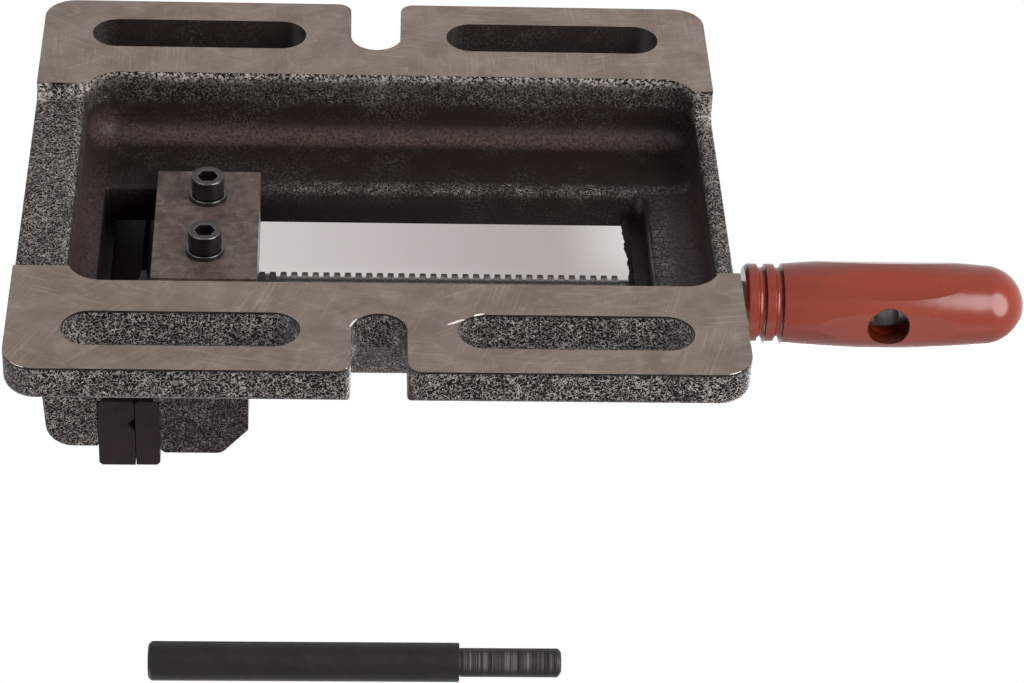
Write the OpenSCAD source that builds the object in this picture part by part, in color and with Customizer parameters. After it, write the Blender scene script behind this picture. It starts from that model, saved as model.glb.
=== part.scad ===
// Quick-action drill press vise, in millimetres.
// A cast base carries a fixed jaw. A second jaw slides along the slotted deck, and a toothed nut
// on its spindle swings into a rack beside the slot, so that the spindle can push the jaw home.
// Origin: centre of the base, on the plane that it stands on. +X points to the handle, +Z up.
// The jaws are drawn closed, and the tommy bar lies loose beside the base.

/* [Base] */
// Length of the base, along the jaw's travel
base_length = 200; // [180:1:240]
// Width of each bolting flange, from the foot of the body to its edge
flange_width = 31.5; // [29:0.5:45]
// Thickness of the bolting flanges
flange_thickness = 11.2; // [8:0.1:12]
// Radius of the base's corners in plan
base_corner_radius = 6; // [3:0.5:12]
// Radius along the upper edge of the flanges
flange_edge_radius = 2.5; // [1:0.5:5]
// Fillet between the flanges and the body
flange_root_radius = 4; // [2:0.5:6]
// How far the jaw end of the body leans in between the flange and the deck
jaw_end_lean = 6; // [2:0.5:8]
// How far the handle end of the body leans in between the flange and the deck
handle_end_lean = 4; // [2:0.5:6]

/* [Underside] */
// Height of the hollow under the deck
cavity_height = 22; // [20:0.5:30]
// How far the hollow reaches past each side of the jaws
cavity_side_reach = 2; // [0:0.5:4]
// Thickness of the body's side walls at their foot
side_wall = 8; // [7:0.5:12]
// Thickness of the end rail under the fixed jaw
jaw_end_wall = 14.6; // [12:0.2:18]
// Thickness of the end rail under the handle
handle_end_wall = 5.5; // [4.5:0.5:9]
// Radius of the hollow's corners in plan
cavity_corner_radius = 10; // [4:0.5:16]
// Radius where the hollow's walls meet the deck
cavity_roof_radius = 7; // [3:0.5:9]
// Depth to which the jaw end's rail stands back from the machined pads
rail_recess = 4; // [1:0.5:6]
// Depth to which the handle end's rail stands back from the machined pads
handle_rail_recess = 9.5; // [4:0.5:10]
// Radius at the foot of the step between a pad and an end rail
step_radius = 3.5; // [1:0.5:4]
// Radius of the rim between the end rails and the hollow
rim_radius = 3; // [1:0.5:4]
// Width that each machined pad reaches past the hollow's side along the end rails
pad_overlap = 6.5; // [2:0.5:12]

/* [Deck] */
// Thickness of the deck
deck_thickness = 12; // [11:0.5:16]
// Radius along the deck's long edges
deck_edge_radius = 5; // [2:0.5:6]
// Width of the slot that guides the sliding jaw
guide_width = 48; // [46:0.5:56]
// Radius of the slot's corners
guide_corner_radius = 1.5; // [1:0.5:4]
// Room in the slot ahead of the closed jaw's tongue
slot_front_room = 15.5; // [8:0.5:16]
// Least room between the open jaw's tongue and the round corners of the slot's lip
slot_rear_room = 0.5; // [0.3:0.1:8]
// Distance from the handle end of the base to the slot
slot_end_land = 20.5; // [18:0.5:30]
// Radius of the slot's corners under the lip at the handle end
slot_end_radius = 4; // [2:0.5:4]
// Length of the cast lip at the handle end of the slot
slot_lip_length = 4.5; // [1:0.5:4.5]
// Thickness of that lip
slot_lip_thickness = 3; // [2:0.5:5]

/* [Mounting] */
// Width of the bolt slots and of the open notches
bolt_slot_width = 15.1; // [11:0.1:18]
// Overall length of the bolt slots
bolt_slot_length = 64; // [40:1:70]
// Distance of the bolt slots and notch ends from the flange's edge
bolt_slot_inset = 18; // [14:0.5:20]
// Distance of the bolt slots' centres from the ends of the base
bolt_slot_end = 46.8; // [40:0.2:52]
// Radius at the mouth of the open notches
notch_mouth_radius = 4; // [1:0.5:6]

/* [Jaws] */
// Width of the jaws
jaw_width = 100; // [90:1:130]
// Distance from the end of the base to the plane where the jaws meet
jaw_face_inset = 32.2; // [31:0.2:36]
// Gap between the jaw plates when closed
closed_gap = 0.2; // [0.1:0.05:0.5]
// Height of the fixed jaw above the deck
fixed_jaw_height = 26.2; // [24:0.2:34]
// Thickness of the fixed jaw behind its plate, at the top
fixed_jaw_thickness = 14.3; // [12:0.1:16]
// Radius of the fixed jaw's outer top edge
fixed_jaw_radius = 7.5; // [3:0.5:9]
// Height of the sliding jaw above the deck
sliding_jaw_height = 28.2; // [26:0.2:36]
// Length of the sliding jaw along its travel
sliding_jaw_length = 25; // [24:0.5:34]
// Run of the sliding jaw's rear chamfer
jaw_chamfer_run = 7.6; // [3:0.2:9]
// Rise of the sliding jaw's rear chamfer
jaw_chamfer_rise = 8.6; // [3:0.2:9]
// Height of the ledges that the jaw plates stand on, above the deck
plate_seat_height = 10; // [8:0.5:11]
// Depth of those ledges as a step under each plate
plate_seat_depth = 1.5; // [1:0.5:6]
// Height of the jaw plates
plate_height = 22.8; // [20:0.1:30]
// Thickness of the fixed jaw's plate
fixed_plate_thickness = 10.3; // [9.5:0.1:14]
// Thickness of the moving jaw's plate
moving_plate_thickness = 6.8; // [6:0.1:12]
// Depth of the V grooves in the fixed jaw's plate
groove_depth = 2.2; // [1:0.1:2.5]
// Height of the level V groove above the plate's foot
groove_height = 8.2; // [6:0.1:14]
// Chamfer along the edges of the jaw plates
plate_chamfer = 0.9; // [0.2:0.1:1.2]

/* [Screws] */
// Thread diameter of the cap screws
screw_d = 6; // [5:0.5:6]
// Head diameter of the cap screws
screw_head_d = 9.5; // [8.5:0.5:10]
// Head height of the cap screws
screw_head_h = 6; // [5:0.5:6.5]
// Socket size across the flats
screw_socket = 5; // [4:0.5:5]
// Clearance round a screw in the hole that it passes
screw_clearance = 0.3; // [0.1:0.05:0.5]
// Distance of the jaw plate screws from the ends of the jaws
plate_screw_inset = 20; // [15:0.5:22]
// Height of the jaw plate screws above the ledges
plate_screw_height = 6.5; // [6.5:0.5:8]
// Depth to which the screws enter the jaw plates
plate_screw_grip = 4.6; // [3:0.1:5]

/* [Tongue and keeper] */
// Length that the tongue reaches ahead of the sliding jaw
tongue_front = 3; // [1:0.5:3]
// Length that the tongue reaches behind the sliding jaw
tongue_rear = 2; // [0:0.5:2]
// Sliding clearance between the jaw and the deck, on every side
slide_clearance = 0.12; // [0.1:0.01:0.3]
// Thickness of the keeper plate
keeper_thickness = 4; // [3:0.5:6]
// Width of the keeper plate across the slot
keeper_width = 53; // [51:0.5:60]
// Distance between the keeper's two screws
keeper_screw_spacing = 27; // [25:0.5:29]
// Thickness of the washers under the keeper's screws
washer_thickness = 1.6; // [1:0.1:2]
// Outer diameter of those washers
washer_d = 11; // [10.5:0.5:12]

/* [Rack and nut] */
// Module of the rack's teeth: their pitch is pi times this
rack_module = 0.97; // [0.9:0.01:1.1]
// Distance of the rack's tooth tips from the vise's centre line
rack_tip_y = 17.3; // [17.2:0.1:18]
// Share of the pitch that a tooth of the rack fills; the nut's teeth fill the rest
rack_tooth_share = 0.6; // [0.5:0.01:0.62]
// Depth of the rack's gaps past the tips of the nut's teeth
rack_gap_depth = 1.3; // [0.3:0.1:1.6]
// Thickness of the rack
rack_thickness = 6; // [5:0.5:6]
// How far the rack reaches under the deck, past the slot's side
rack_seat_reach = 9; // [8.5:0.5:14]
// Number of screws that hold the rack
rack_screw_count = 3; // [2:1:5]
// Thread diameter of the rack's screws
rack_screw_d = 4; // [3:0.5:4]
// Number of teeth on the nut
nut_teeth = 3; // [2:1:3]
// Angle through which the nut swings into the rack
nut_swing = 9; // [8.5:0.5:9.5]
// Outer radius of the nut round the spindle
nut_hub_radius = 9; // [8:0.5:9]
// Clearance of the nut's teeth when they are in mesh
mesh_clearance = 0.35; // [0.3:0.05:0.4]

/* [Spindle] */
// Height of the spindle's axis above the deck
spindle_height = 10.2; // [10:0.1:11]
// Diameter of the spindle in the jaw
journal_d = 12; // [10:0.5:12]
// Diameter of the spindle's rod
rod_d = 13; // [12.5:0.5:14]
// Diameter of the spindle's collar
collar_d = 14.5; // [14:0.5:18]
// Thickness of the spindle's collar
collar_thickness = 4; // [2:0.5:6]
// Thickness of the thrust washer
thrust_thickness = 1.5; // [1:0.1:2.5]
// Thickness of the retaining ring at the spindle's end
retainer_thickness = 1; // [0.8:0.1:1.2]
// Outer diameter of the retaining ring
retainer_d = 16.4; // [15:0.2:17]
// Depth of the groove that holds the ring
retainer_depth = 0.6; // [0.4:0.1:1]
// Width of the gap in the ring
retainer_gap = 5; // [3:0.5:7]
// Outer diameter of the bush in the jaw
bush_d = 16; // [15:0.5:17]
// Radial running clearance of the spindle and the nut
running_clearance = 0.05; // [0.03:0.01:0.08]
// Distance from the sliding jaw to the grip
grip_distance = 144; // [140:1:220]

/* [Grip] */
// Length of the grip
grip_length = 83.3; // [75:0.5:110]
// Largest diameter of the grip
grip_d = 26.5; // [24:0.1:32]
// Diameter of the ringed collar
grip_collar_d = 23.4; // [22:0.1:24]
// Length of the ringed collar
grip_collar_length = 12; // [10:0.5:14]
// Width of the two ring grooves, as the diameter of the tool that cuts them
ring_groove = 2.4; // [1.4:0.1:2.8]
// Depth of the ring grooves
ring_depth = 1.1; // [0.3:0.1:1.3]
// Distance from the start of the grip to the first groove, and from that to the second
ring_spacing = 5; // [3.5:0.1:5.6]
// Diameter of the grip where its round end starts
grip_end_d = 23.9; // [22:0.1:23.9]
// Number of oval flats round the grip
flat_count = 6; // [4:1:8]
// Depth of the oval flats
flat_depth = 0.95; // [0.4:0.05:1.1]
// Distance of the oval flats' middle from the start of the grip
flat_place = 44; // [38:0.5:48]
// Hollow radius along the oval flats
flat_radius = 960; // [300:10:1200]
// Distance of the cross hole from the start of the grip
cross_hole_place = 42; // [36:0.5:48]
// Diameter of the hole through the grip
grip_hole_d = 12.2; // [11:0.1:13]
// Diameter of the hole through the spindle
spindle_hole_d = 7.3; // [5:0.1:7.5]
// Angle by which the cross hole points down from level
cross_hole_dip = 3; // [0:1:20]

/* [Tommy bar] */
// Diameter of the bar
bar_d = 9.5; // [8:0.1:11]
// Length of the thick part
bar_length = 74.6; // [50:0.2:120]
// Diameter of the turned-down end
bar_end_d = 7; // [4.5:0.1:7]
// Length of the turned-down end
bar_end_length = 24.6; // [20:0.2:40]
// Chamfer at the ends of the bar
bar_chamfer = 0.8; // [0.2:0.1:1.2]
// Place of the bar's thick end along the base
bar_x = -56; // [-100:1:60]
// Distance of the bar from the flange's edge
bar_distance = 107.7; // [20:0.1:140]

/* [Hidden] */
$fn = 64;

// Spare length by which a cutting tool runs past the face that it cuts
over = 1;
// Clearance between pieces that are fixed together
seat_clearance = 0.02;

// Levels above the plane that the base stands on
deck_top = cavity_height + deck_thickness;
seat_z = deck_top + plate_seat_height;
plate_top = seat_z + plate_height;
fixed_jaw_top = deck_top + fixed_jaw_height;
sliding_jaw_top = deck_top + sliding_jaw_height;
spindle_z = deck_top + spindle_height;
rack_top = cavity_height + rack_thickness;
tongue_bottom = cavity_height - slide_clearance;
plate_screw_z = seat_z + plate_screw_height;

// Widths across the vise
jaw_half = jaw_width / 2;
cavity_half = jaw_half + cavity_side_reach;
foot_half = cavity_half + side_wall;
base_half = foot_half + flange_width;
bolt_slot_y = base_half - bolt_slot_inset;
tongue_half = guide_width / 2 - slide_clearance;

// Places along the vise
base_end = base_length / 2;
jaw_face_x = jaw_face_inset - base_end;
fixed_plate_back = jaw_face_x - closed_gap / 2 - fixed_plate_thickness;
jaw_front = jaw_face_x + closed_gap / 2 + moving_plate_thickness;
jaw_rear = jaw_front + sliding_jaw_length;
tongue_x0 = jaw_front - tongue_front;
tongue_x1 = jaw_rear + tongue_rear;
tongue_mid = (tongue_x0 + tongue_x1) / 2;
slot_x0 = tongue_x0 - slot_front_room;
slot_x1 = base_end - slot_end_land;

// Rack: whole pitches of travel, so that the nut meets a gap at both ends of the slide
pitch = PI * rack_module;
flank_angle = 6;
addendum = 1.1 * rack_module;
dedendum = 1.4 * rack_module;
slot_stop = slot_x1 - slot_lip_length - guide_corner_radius - slot_rear_room;
travel_teeth = floor((slot_stop - tongue_x1) / pitch);
mesh_y = rack_tip_y + addendum + dedendum;
rack_root_y = mesh_y + rack_gap_depth;
tooth_growth = (rack_tooth_share - 0.5) * pitch / 2;
rack_back_y = guide_width / 2 + rack_seat_reach;
rack_lead_teeth = 2;
rack_tail_teeth = 8;

// Nut: it fills the room between the jaw plate and the keeper's screws
nut_room = 7.5;
nut_play = 0.5;
nut_rear = jaw_front + nut_room - nut_play;
spindle_x0 = jaw_front + nut_play;
retainer_x0 = spindle_x0 + nut_play;
retainer_x1 = retainer_x0 + retainer_thickness;
nut_hub_front = retainer_x1 + nut_play / 2;
nut_block_front = nut_rear - nut_teeth * pitch;
nut_tip_y = mesh_y - mesh_clearance;
nut_root_y = rack_tip_y - mesh_clearance;
nut_block_height = 2.4;
nut_arm_foot = 3;
nut_arm_gusset = 3.5;
nut_top = rack_top - slide_clearance - mesh_clearance;
pocket_gap = 0.45;
first_gap_x = nut_block_front + pitch / 2;

// Spindle and grip
collar_x0 = jaw_rear + thrust_thickness;
collar_x1 = collar_x0 + collar_thickness;
grip_x = jaw_rear + grip_distance;
cross_hole_x = grip_x + cross_hole_place;
rod_past_hole = 18;
rod_end = cross_hole_x + rod_past_hole;
barrel_mid = cross_hole_place;
dome_r = grip_end_d / 2;
dome_start = grip_length - dome_r;
barrel_drop = grip_d / 2 - dome_r;
barrel_start = grip_collar_length - over;
// Straight steps that make up the barrel's long curve
barrel_steps = 12;

// The two sides, or the two ends, of a pair
sides = [-1, 1];
// Flats that stand for a round corner where a bore cuts into it
corner_flats = 6;

// General shapes

// Waste piece of an outline's corner: taken away it rounds the corner, added it fillets it.
// a and b are unit vectors from the corner p along its two edges.
module corner_piece(p, a, b, r) {
    half = acos(a * b) / 2;
    middle = (a + b) / norm(a + b);
    run = r / tan(half);
    centre = p + middle * r / sin(half);
    difference() {
        polygon([p, p + a * run, centre, p + b * run]);
        translate(centre) circle(r);
    }
}

// The same waste piece for a corner that is cut, run past both edges so that no sliver is left
module corner_waste(p, a, b, r) {
    half = acos(a * b) / 2;
    run = r / tan(half);
    centre = p + (a + b) / norm(a + b) * r / sin(half);
    difference() {
        polygon([
            centre, p + a * run, p + a * run - b * over, p - (a + b) * over,
            p + b * run - a * over, p + b * run
        ]);
        translate(centre) circle(r);
    }
}

// Points round a corner p of an outline, in a few flats, for a corner that a bore cuts into.
// a and b are unit vectors from the corner along its two edges.
function round_corner(p, a, b, r) =
    let (
        half = acos(a * b) / 2,
        centre = p + (a + b) / norm(a + b) * r / sin(half),
        start = p + a * r / tan(half) - centre,
        stop = p + b * r / tan(half) - centre
    )
    [for (i = [0 : corner_flats])
        let (spoke = start + (stop - start) * i / corner_flats) centre + spoke * r / norm(spoke)];

// Rectangle with round corners, between two opposite corners
module round_rect(low, high, r) {
    difference() {
        translate(low) square(high - low);
        corner_piece(low, [1, 0], [0, 1], r);
        corner_piece(high, [-1, 0], [0, -1], r);
        corner_piece([low.x, high.y], [1, 0], [0, -1], r);
        corner_piece([high.x, low.y], [-1, 0], [0, 1], r);
    }
}

// Outline in X and Z, drawn out across the vise between two values of Y
module across(y0, y1) {
    translate([0, y1, 0]) rotate([90, 0, 0]) linear_extrude(y1 - y0) children();
}

// Outline in Y and Z, drawn out along the vise between two values of X
module along(x0, x1) {
    translate([x0, 0, 0]) rotate([90, 0, 90]) linear_extrude(x1 - x0) children();
}

// Box between two corners
module box(low, high) {
    translate(low) cube(high - low);
}

// Round bar along X between two values of X
module bar_along(x0, x1, d) {
    translate([x0, 0, 0]) rotate([0, 90, 0]) cylinder(h = x1 - x0, d = d);
}

// Socket head cap screw on the Z axis: its head stands below zero and its shank above
module cap_screw(length) {
    difference() {
        translate([0, 0, -screw_head_h]) cylinder(h = screw_head_h, d = screw_head_d);
        translate([0, 0, -screw_head_h - over])
            cylinder(h = screw_head_h / 2 + over, d = screw_socket / cos(30), $fn = 6);
    }
    cylinder(h = length, d = screw_d);
}

// Base casting

// Outline of the base in plan, with its two open notches
module base_plan() {
    difference() {
        round_rect([-base_end, -base_half], [base_end, base_half], base_corner_radius);
        for (side = sides) {
            translate([0, side * bolt_slot_y]) circle(d = bolt_slot_width);
            translate([-bolt_slot_width / 2, min(side * bolt_slot_y, side * (base_half + over))])
                square([bolt_slot_width, bolt_slot_inset + over]);
            for (end = sides)
                corner_piece([end * bolt_slot_width / 2, side * base_half], [end, 0], [0, -side],
                    notch_mouth_radius);
        }
    }
}

// Cross-section of the body and flanges
module base_section() {
    wall = [jaw_half - foot_half, deck_top - flange_thickness];
    lean = wall / norm(wall);
    difference() {
        union() {
            translate([-base_half, 0]) square([2 * base_half, flange_thickness]);
            polygon([
                [-foot_half, flange_thickness], [-jaw_half, deck_top],
                [jaw_half, deck_top], [foot_half, flange_thickness],
                [foot_half, over], [-foot_half, over]
            ]);
            for (side = sides)
                corner_piece([side * foot_half, flange_thickness], [side, 0],
                    [side * lean.x, lean.y], flange_root_radius);
        }
        for (side = sides) {
            corner_waste([side * base_half, flange_thickness], [-side, 0], [0, -1],
                flange_edge_radius);
            corner_waste([side * jaw_half, deck_top], [-side, 0], [-side * lean.x, -lean.y],
                deck_edge_radius);
        }
    }
}

// Side view of the body, with its leaning ends
module base_profile() {
    polygon([
        [-base_end, 0], [base_end, 0], [base_end, flange_thickness],
        [base_end - handle_end_lean, deck_top], [jaw_end_lean - base_end, deck_top],
        [-base_end, flange_thickness]
    ]);
}

// Outline of the hollow between two of its walls, with a round corner under the deck at each
module hollow_outline(low, high) {
    difference() {
        translate([low, -over]) square([high - low, cavity_height + over]);
        corner_piece([low, cavity_height], [1, 0], [0, -1], cavity_roof_radius);
        corner_piece([high, cavity_height], [-1, 0], [0, -1], cavity_roof_radius);
    }
}

// Hollow under the deck: drawn along and across between its corners, and turned round each corner
module cavity() {
    x0 = jaw_end_wall - base_end;
    x1 = base_end - handle_end_wall;
    r = cavity_corner_radius;
    along(x0 + r, x1 - r) hollow_outline(-cavity_half, cavity_half);
    across(r - cavity_half, cavity_half - r) hollow_outline(x0, x1);
    for (x = [x0 + r, x1 - r], side = sides)
        translate([x, side * (cavity_half - r), 0]) rotate_extrude() intersection() {
            hollow_outline(-r, r);
            translate([0, -over]) square([r, cavity_height + over]);
        }
}

// Waste between the pads over one end rail: a step with a round foot, and the rail's round rim
module rail_waste(x, wall_x, depth) {
    half = cavity_half - pad_overlap;
    along(min(x, 0), max(x, 0)) difference() {
        translate([-half, -over]) square([2 * half, depth + over]);
        for (side = sides)
            corner_piece([side * half, depth], [-side, 0], [0, -1], step_radius);
    }
    rim_half = min(half - step_radius, cavity_half - cavity_corner_radius);
    across(-rim_half, rim_half) corner_piece([wall_x, depth], [sign(x), 0], [0, 1], rim_radius);
}

// Slot through the deck, stopped short by a cast lip at the handle end
module deck_slot() {
    translate([0, 0, cavity_height - over])
        linear_extrude(deck_thickness - slot_lip_thickness + over) {
            round_rect([slot_x0, -guide_width / 2], [slot_x1 - slot_end_radius, guide_width / 2],
                guide_corner_radius);
            round_rect([slot_x1 - 3 * slot_end_radius, -guide_width / 2], [slot_x1, guide_width / 2],
                slot_end_radius);
        }
    translate([0, 0, cavity_height])
        linear_extrude(deck_thickness + over)
            round_rect([slot_x0, -guide_width / 2], [slot_x1 - slot_lip_length, guide_width / 2],
                guide_corner_radius);
}

// Seat under the deck for the rack
module rack_seat() {
    box([rack_x(-rack_lead_teeth) - seat_clearance, guide_width / 2 - over, cavity_height - over],
        [rack_x(travel_teeth + rack_tail_teeth) + seat_clearance, rack_back_y + seat_clearance,
            rack_top + seat_clearance]);
}

// Slots for the bolts that hold the base down
module bolt_slots() {
    reach = bolt_slot_length / 2;
    for (end = sides, side = sides)
        translate([end * (base_end - bolt_slot_end), side * bolt_slot_y, -over])
            linear_extrude(flange_thickness + 2 * over) {
                square([bolt_slot_length - bolt_slot_width, bolt_slot_width], center = true);
                for (tip = sides)
                    translate([tip * (reach - bolt_slot_width / 2), 0]) circle(d = bolt_slot_width);
            }
}

// Side view of the fixed jaw, with the ledge for its plate
module fixed_jaw_profile() {
    outer = [fixed_plate_back - fixed_jaw_thickness, fixed_jaw_top];
    foot = [jaw_end_lean - base_end, deck_top];
    face = (foot - outer) / norm(foot - outer);
    ledge_x = fixed_plate_back + plate_seat_depth;
    polygon(concat(
        [foot], round_corner(outer, face, [1, 0], fixed_jaw_radius),
        [[fixed_plate_back, fixed_jaw_top], [fixed_plate_back, seat_z], [ledge_x, seat_z],
            [ledge_x, deck_top - over], [foot.x + over, deck_top - over]]
    ));
}

// Holes for a jaw plate's two screws, bored from the outer face x0 towards the plate
module plate_screw_holes(x0, x1, head_x) {
    for (side = sides) translate([0, side * (jaw_half - plate_screw_inset), plate_screw_z]) {
        bar_along(min(x0, x1), max(x0, x1), screw_d + 2 * screw_clearance);
        bar_along(min(x0, head_x), max(x0, head_x), screw_head_d + 2 * screw_clearance);
    }
}

module base_casting() {
    outer_x = -base_end - over;
    color("dimgray") difference() {
        union() {
            intersection() {
                linear_extrude(deck_top) base_plan();
                along(-base_end - over, base_end + over) base_section();
                across(-base_half - over, base_half + over) base_profile();
            }
            across(-jaw_half, jaw_half) fixed_jaw_profile();
        }
        cavity();
        rail_waste(-base_end - over, jaw_end_wall - base_end, rail_recess);
        rail_waste(base_end + over, base_end - handle_end_wall, handle_rail_recess);
        deck_slot();
        rack_seat();
        bolt_slots();
        plate_screw_holes(outer_x, fixed_plate_back + over, fixed_head_x);
        for (place = rack_screw_places)
            translate([place, rack_screw_y, rack_top - over])
                cylinder(h = rack_screw_depth + over, d = rack_screw_d + 2 * seat_clearance);
    }
}

// Jaw plates and their screws

// Places of the screw heads' seats in the two jaws
screw_head_wall = 6;
fixed_head_x = fixed_plate_back - screw_head_wall;
moving_head_x = jaw_front + sliding_jaw_length / 2;

// Block across the jaws with chamfered long edges, but for the upper one along the jaw's face
module plate_block(back, face) {
    c = plate_chamfer;
    in = face > back ? c : -c;
    across(-jaw_half, jaw_half) polygon([
        [back + in, seat_z], [face - in, seat_z], [face, seat_z + c], [face, plate_top],
        [back + in, plate_top], [back, plate_top - c], [back, seat_z + c]
    ]);
}

// Blind holes in a plate's back for its screws
module plate_sockets(x0, x1) {
    for (side = sides) translate([0, side * (jaw_half - plate_screw_inset), plate_screw_z])
        bar_along(x0, x1, screw_d + 2 * seat_clearance);
}

module fixed_jaw_plate() {
    x1 = jaw_face_x - closed_gap / 2;
    vee = [[x1 - groove_depth, 0], [x1 + over, -groove_depth - over], [x1 + over, groove_depth + over]];
    color([0.16, 0.14, 0.14]) difference() {
        plate_block(fixed_plate_back, x1);
        translate([0, 0, seat_z + groove_height]) across(-jaw_half - over, jaw_half + over)
            polygon(vee);
        translate([0, 0, seat_z - over]) linear_extrude(plate_height + 2 * over) polygon(vee);
        plate_sockets(fixed_plate_back - over, fixed_plate_back + plate_screw_grip + seat_clearance);
    }
}

module moving_jaw_plate() {
    x0 = jaw_face_x + closed_gap / 2;
    color([0.2, 0.16, 0.16]) difference() {
        plate_block(jaw_front, x0);
        plate_sockets(jaw_front - plate_screw_grip - seat_clearance, jaw_front + over);
    }
}

module fixed_jaw_screws() {
    color("black") for (side = sides)
        translate([fixed_head_x, side * (jaw_half - plate_screw_inset), plate_screw_z])
            rotate([0, 90, 0]) cap_screw(screw_head_wall + plate_screw_grip);
}

module moving_jaw_screws() {
    color("black") for (side = sides)
        translate([moving_head_x, side * (jaw_half - plate_screw_inset), plate_screw_z])
            rotate([0, -90, 0]) cap_screw(sliding_jaw_length / 2 + plate_screw_grip);
}

// Rack

// Middle of the gap that stands a number of pitches from the closed nut's first tooth
function rack_x(gap) = first_gap_x + gap * pitch;

// Corners of one tooth, from its root to its tip and back; thin narrows it on each side
function tooth(x, root_y, tip_y, pitch_y, thin) = [
    for (corner = [[-1, root_y], [-1, tip_y], [1, tip_y], [1, root_y]])
        [x + corner[0] * (pitch / 4 - thin - (tip_y > root_y ? 1 : -1)
            * (corner[1] - pitch_y) * tan(flank_angle)), corner[1]]
];

rack_screw_edge = 0.5;
rack_screw_head_d = 2 * rack_screw_d;
rack_screw_y = rack_back_y - rack_screw_edge - rack_screw_head_d / 2;
rack_screw_depth = 4;
rack_screw_end = 18;
rack_screw_places = [
    for (i = [0 : rack_screw_count - 1])
        rack_x(-rack_lead_teeth) + rack_screw_end + i / (rack_screw_count - 1)
            * ((travel_teeth + rack_tail_teeth + rack_lead_teeth) * pitch - 2 * rack_screw_end)
];

// Countersunk screw on the Z axis, flush with z = 0 and reaching up
module flat_screw(d, length, growth) {
    rise = d / 2;
    cylinder(h = rise, d1 = 2 * d + growth, d2 = d + growth);
    cylinder(h = length, d = d + growth);
}

module rack() {
    last = travel_teeth + rack_tail_teeth;
    pitch_y = rack_tip_y + addendum;
    teeth = [
        for (gap = [-rack_lead_teeth : last - 1])
            each tooth(rack_x(gap + 0.5), rack_root_y, rack_tip_y, pitch_y, -tooth_growth)
    ];
    color([0.25, 0.23, 0.22]) difference() {
        translate([0, 0, cavity_height]) linear_extrude(rack_thickness)
            polygon(concat(
                [[rack_x(-rack_lead_teeth), rack_back_y], [rack_x(-rack_lead_teeth), rack_root_y]],
                teeth,
                [[rack_x(last), rack_root_y], [rack_x(last), rack_back_y]]
            ));
        for (place = rack_screw_places) translate([place, rack_screw_y, cavity_height]) {
            flat_screw(rack_screw_d, rack_thickness + over, 2 * seat_clearance);
            translate([0, 0, -over]) cylinder(h = over + seat_clearance, d = rack_screw_head_d);
        }
    }
}

module rack_screws() {
    color("black") for (place = rack_screw_places)
        translate([place, rack_screw_y, cavity_height + seat_clearance])
            flat_screw(rack_screw_d, rack_thickness + rack_screw_depth - over, 0);
}

// Sliding jaw

// Side view of the sliding jaw above the deck
module sliding_jaw_profile() {
    foot = deck_top + slide_clearance;
    polygon([
        [jaw_front - plate_seat_depth, foot], [jaw_rear, foot],
        [jaw_rear, sliding_jaw_top - jaw_chamfer_rise],
        [jaw_rear - jaw_chamfer_run, sliding_jaw_top], [jaw_front, sliding_jaw_top],
        [jaw_front, seat_z], [jaw_front - plate_seat_depth, seat_z]
    ]);
}

// Cross-section of the tongue: it runs between the slot's sides, and steps in past the rack
module tongue_section() {
    step = rack_top + slide_clearance;
    inner = rack_tip_y - pocket_gap;
    polygon([
        [-tongue_half, tongue_bottom], [inner, tongue_bottom], [inner, step], [tongue_half, step],
        [tongue_half, deck_top + over], [-tongue_half, deck_top + over]
    ]);
}

// Room for the nut to swing, open below and towards the rack
module nut_pocket() {
    r = nut_hub_radius + pocket_gap;
    shoulder = [nut_root_y + mesh_clearance, deck_top - spindle_z];
    floor_z = tongue_bottom - over - spindle_z;
    translate([0, 0, spindle_z]) {
        along(jaw_front, jaw_front + nut_room) {
            circle(r);
            polygon([[-r, 0], [r, 0], shoulder, [shoulder.x, floor_z], [-r, floor_z]]);
        }
        along(tongue_x0 - over, jaw_front + nut_room)
            translate([-r, floor_z]) square([r + shoulder.x, deck_top - slide_clearance - spindle_z - floor_z]);
    }
}

module sliding_jaw() {
    color("dimgray") difference() {
        union() {
            across(-jaw_half, jaw_half) sliding_jaw_profile();
            along(tongue_x0, tongue_x1) tongue_section();
        }
        nut_pocket();
        translate([0, 0, spindle_z])
            bar_along(jaw_front + nut_room - over, jaw_rear + over, bush_d + 2 * seat_clearance);
        plate_screw_holes(jaw_rear + over, jaw_front - over, moving_head_x);
        for (side = sides)
            translate([tongue_mid, side * keeper_screw_spacing / 2, tongue_bottom - over])
                cylinder(h = keeper_screw_depth + 2 * over, d = screw_d + 2 * seat_clearance);
    }
}

// Keeper

keeper_screw_depth = 11;
keeper_bottom = tongue_bottom - keeper_thickness;
washer_bottom = keeper_bottom - washer_thickness;

// Places what is drawn on the Z axis at the keeper's two screws
module at_keeper_screws(z) {
    for (side = sides) translate([tongue_mid, side * keeper_screw_spacing / 2, z]) children();
}

module keeper_plate() {
    color([0.42, 0.38, 0.36]) difference() {
        box([tongue_x0, -keeper_width / 2, keeper_bottom], [tongue_x1, keeper_width / 2, tongue_bottom]);
        at_keeper_screws(keeper_bottom - over)
            cylinder(h = keeper_thickness + 2 * over, d = screw_d + 2 * screw_clearance);
    }
}

module keeper_screws() {
    color("black") at_keeper_screws(washer_bottom)
        cap_screw(washer_thickness + keeper_thickness + keeper_screw_depth);
}

module keeper_washers() {
    color([0.2, 0.18, 0.18]) at_keeper_screws(washer_bottom) difference() {
        cylinder(h = washer_thickness, d = washer_d);
        translate([0, 0, -over]) cylinder(h = washer_thickness + 2 * over, d = screw_d + 2 * screw_clearance);
    }
}

// Spindle, its bush and its nut

module spindle_bush() {
    color("peru") translate([0, 0, spindle_z]) difference() {
        bar_along(jaw_front + nut_room, jaw_rear, bush_d);
        bar_along(jaw_front + nut_room - over, jaw_rear + over, journal_d + 2 * running_clearance);
    }
}

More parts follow.
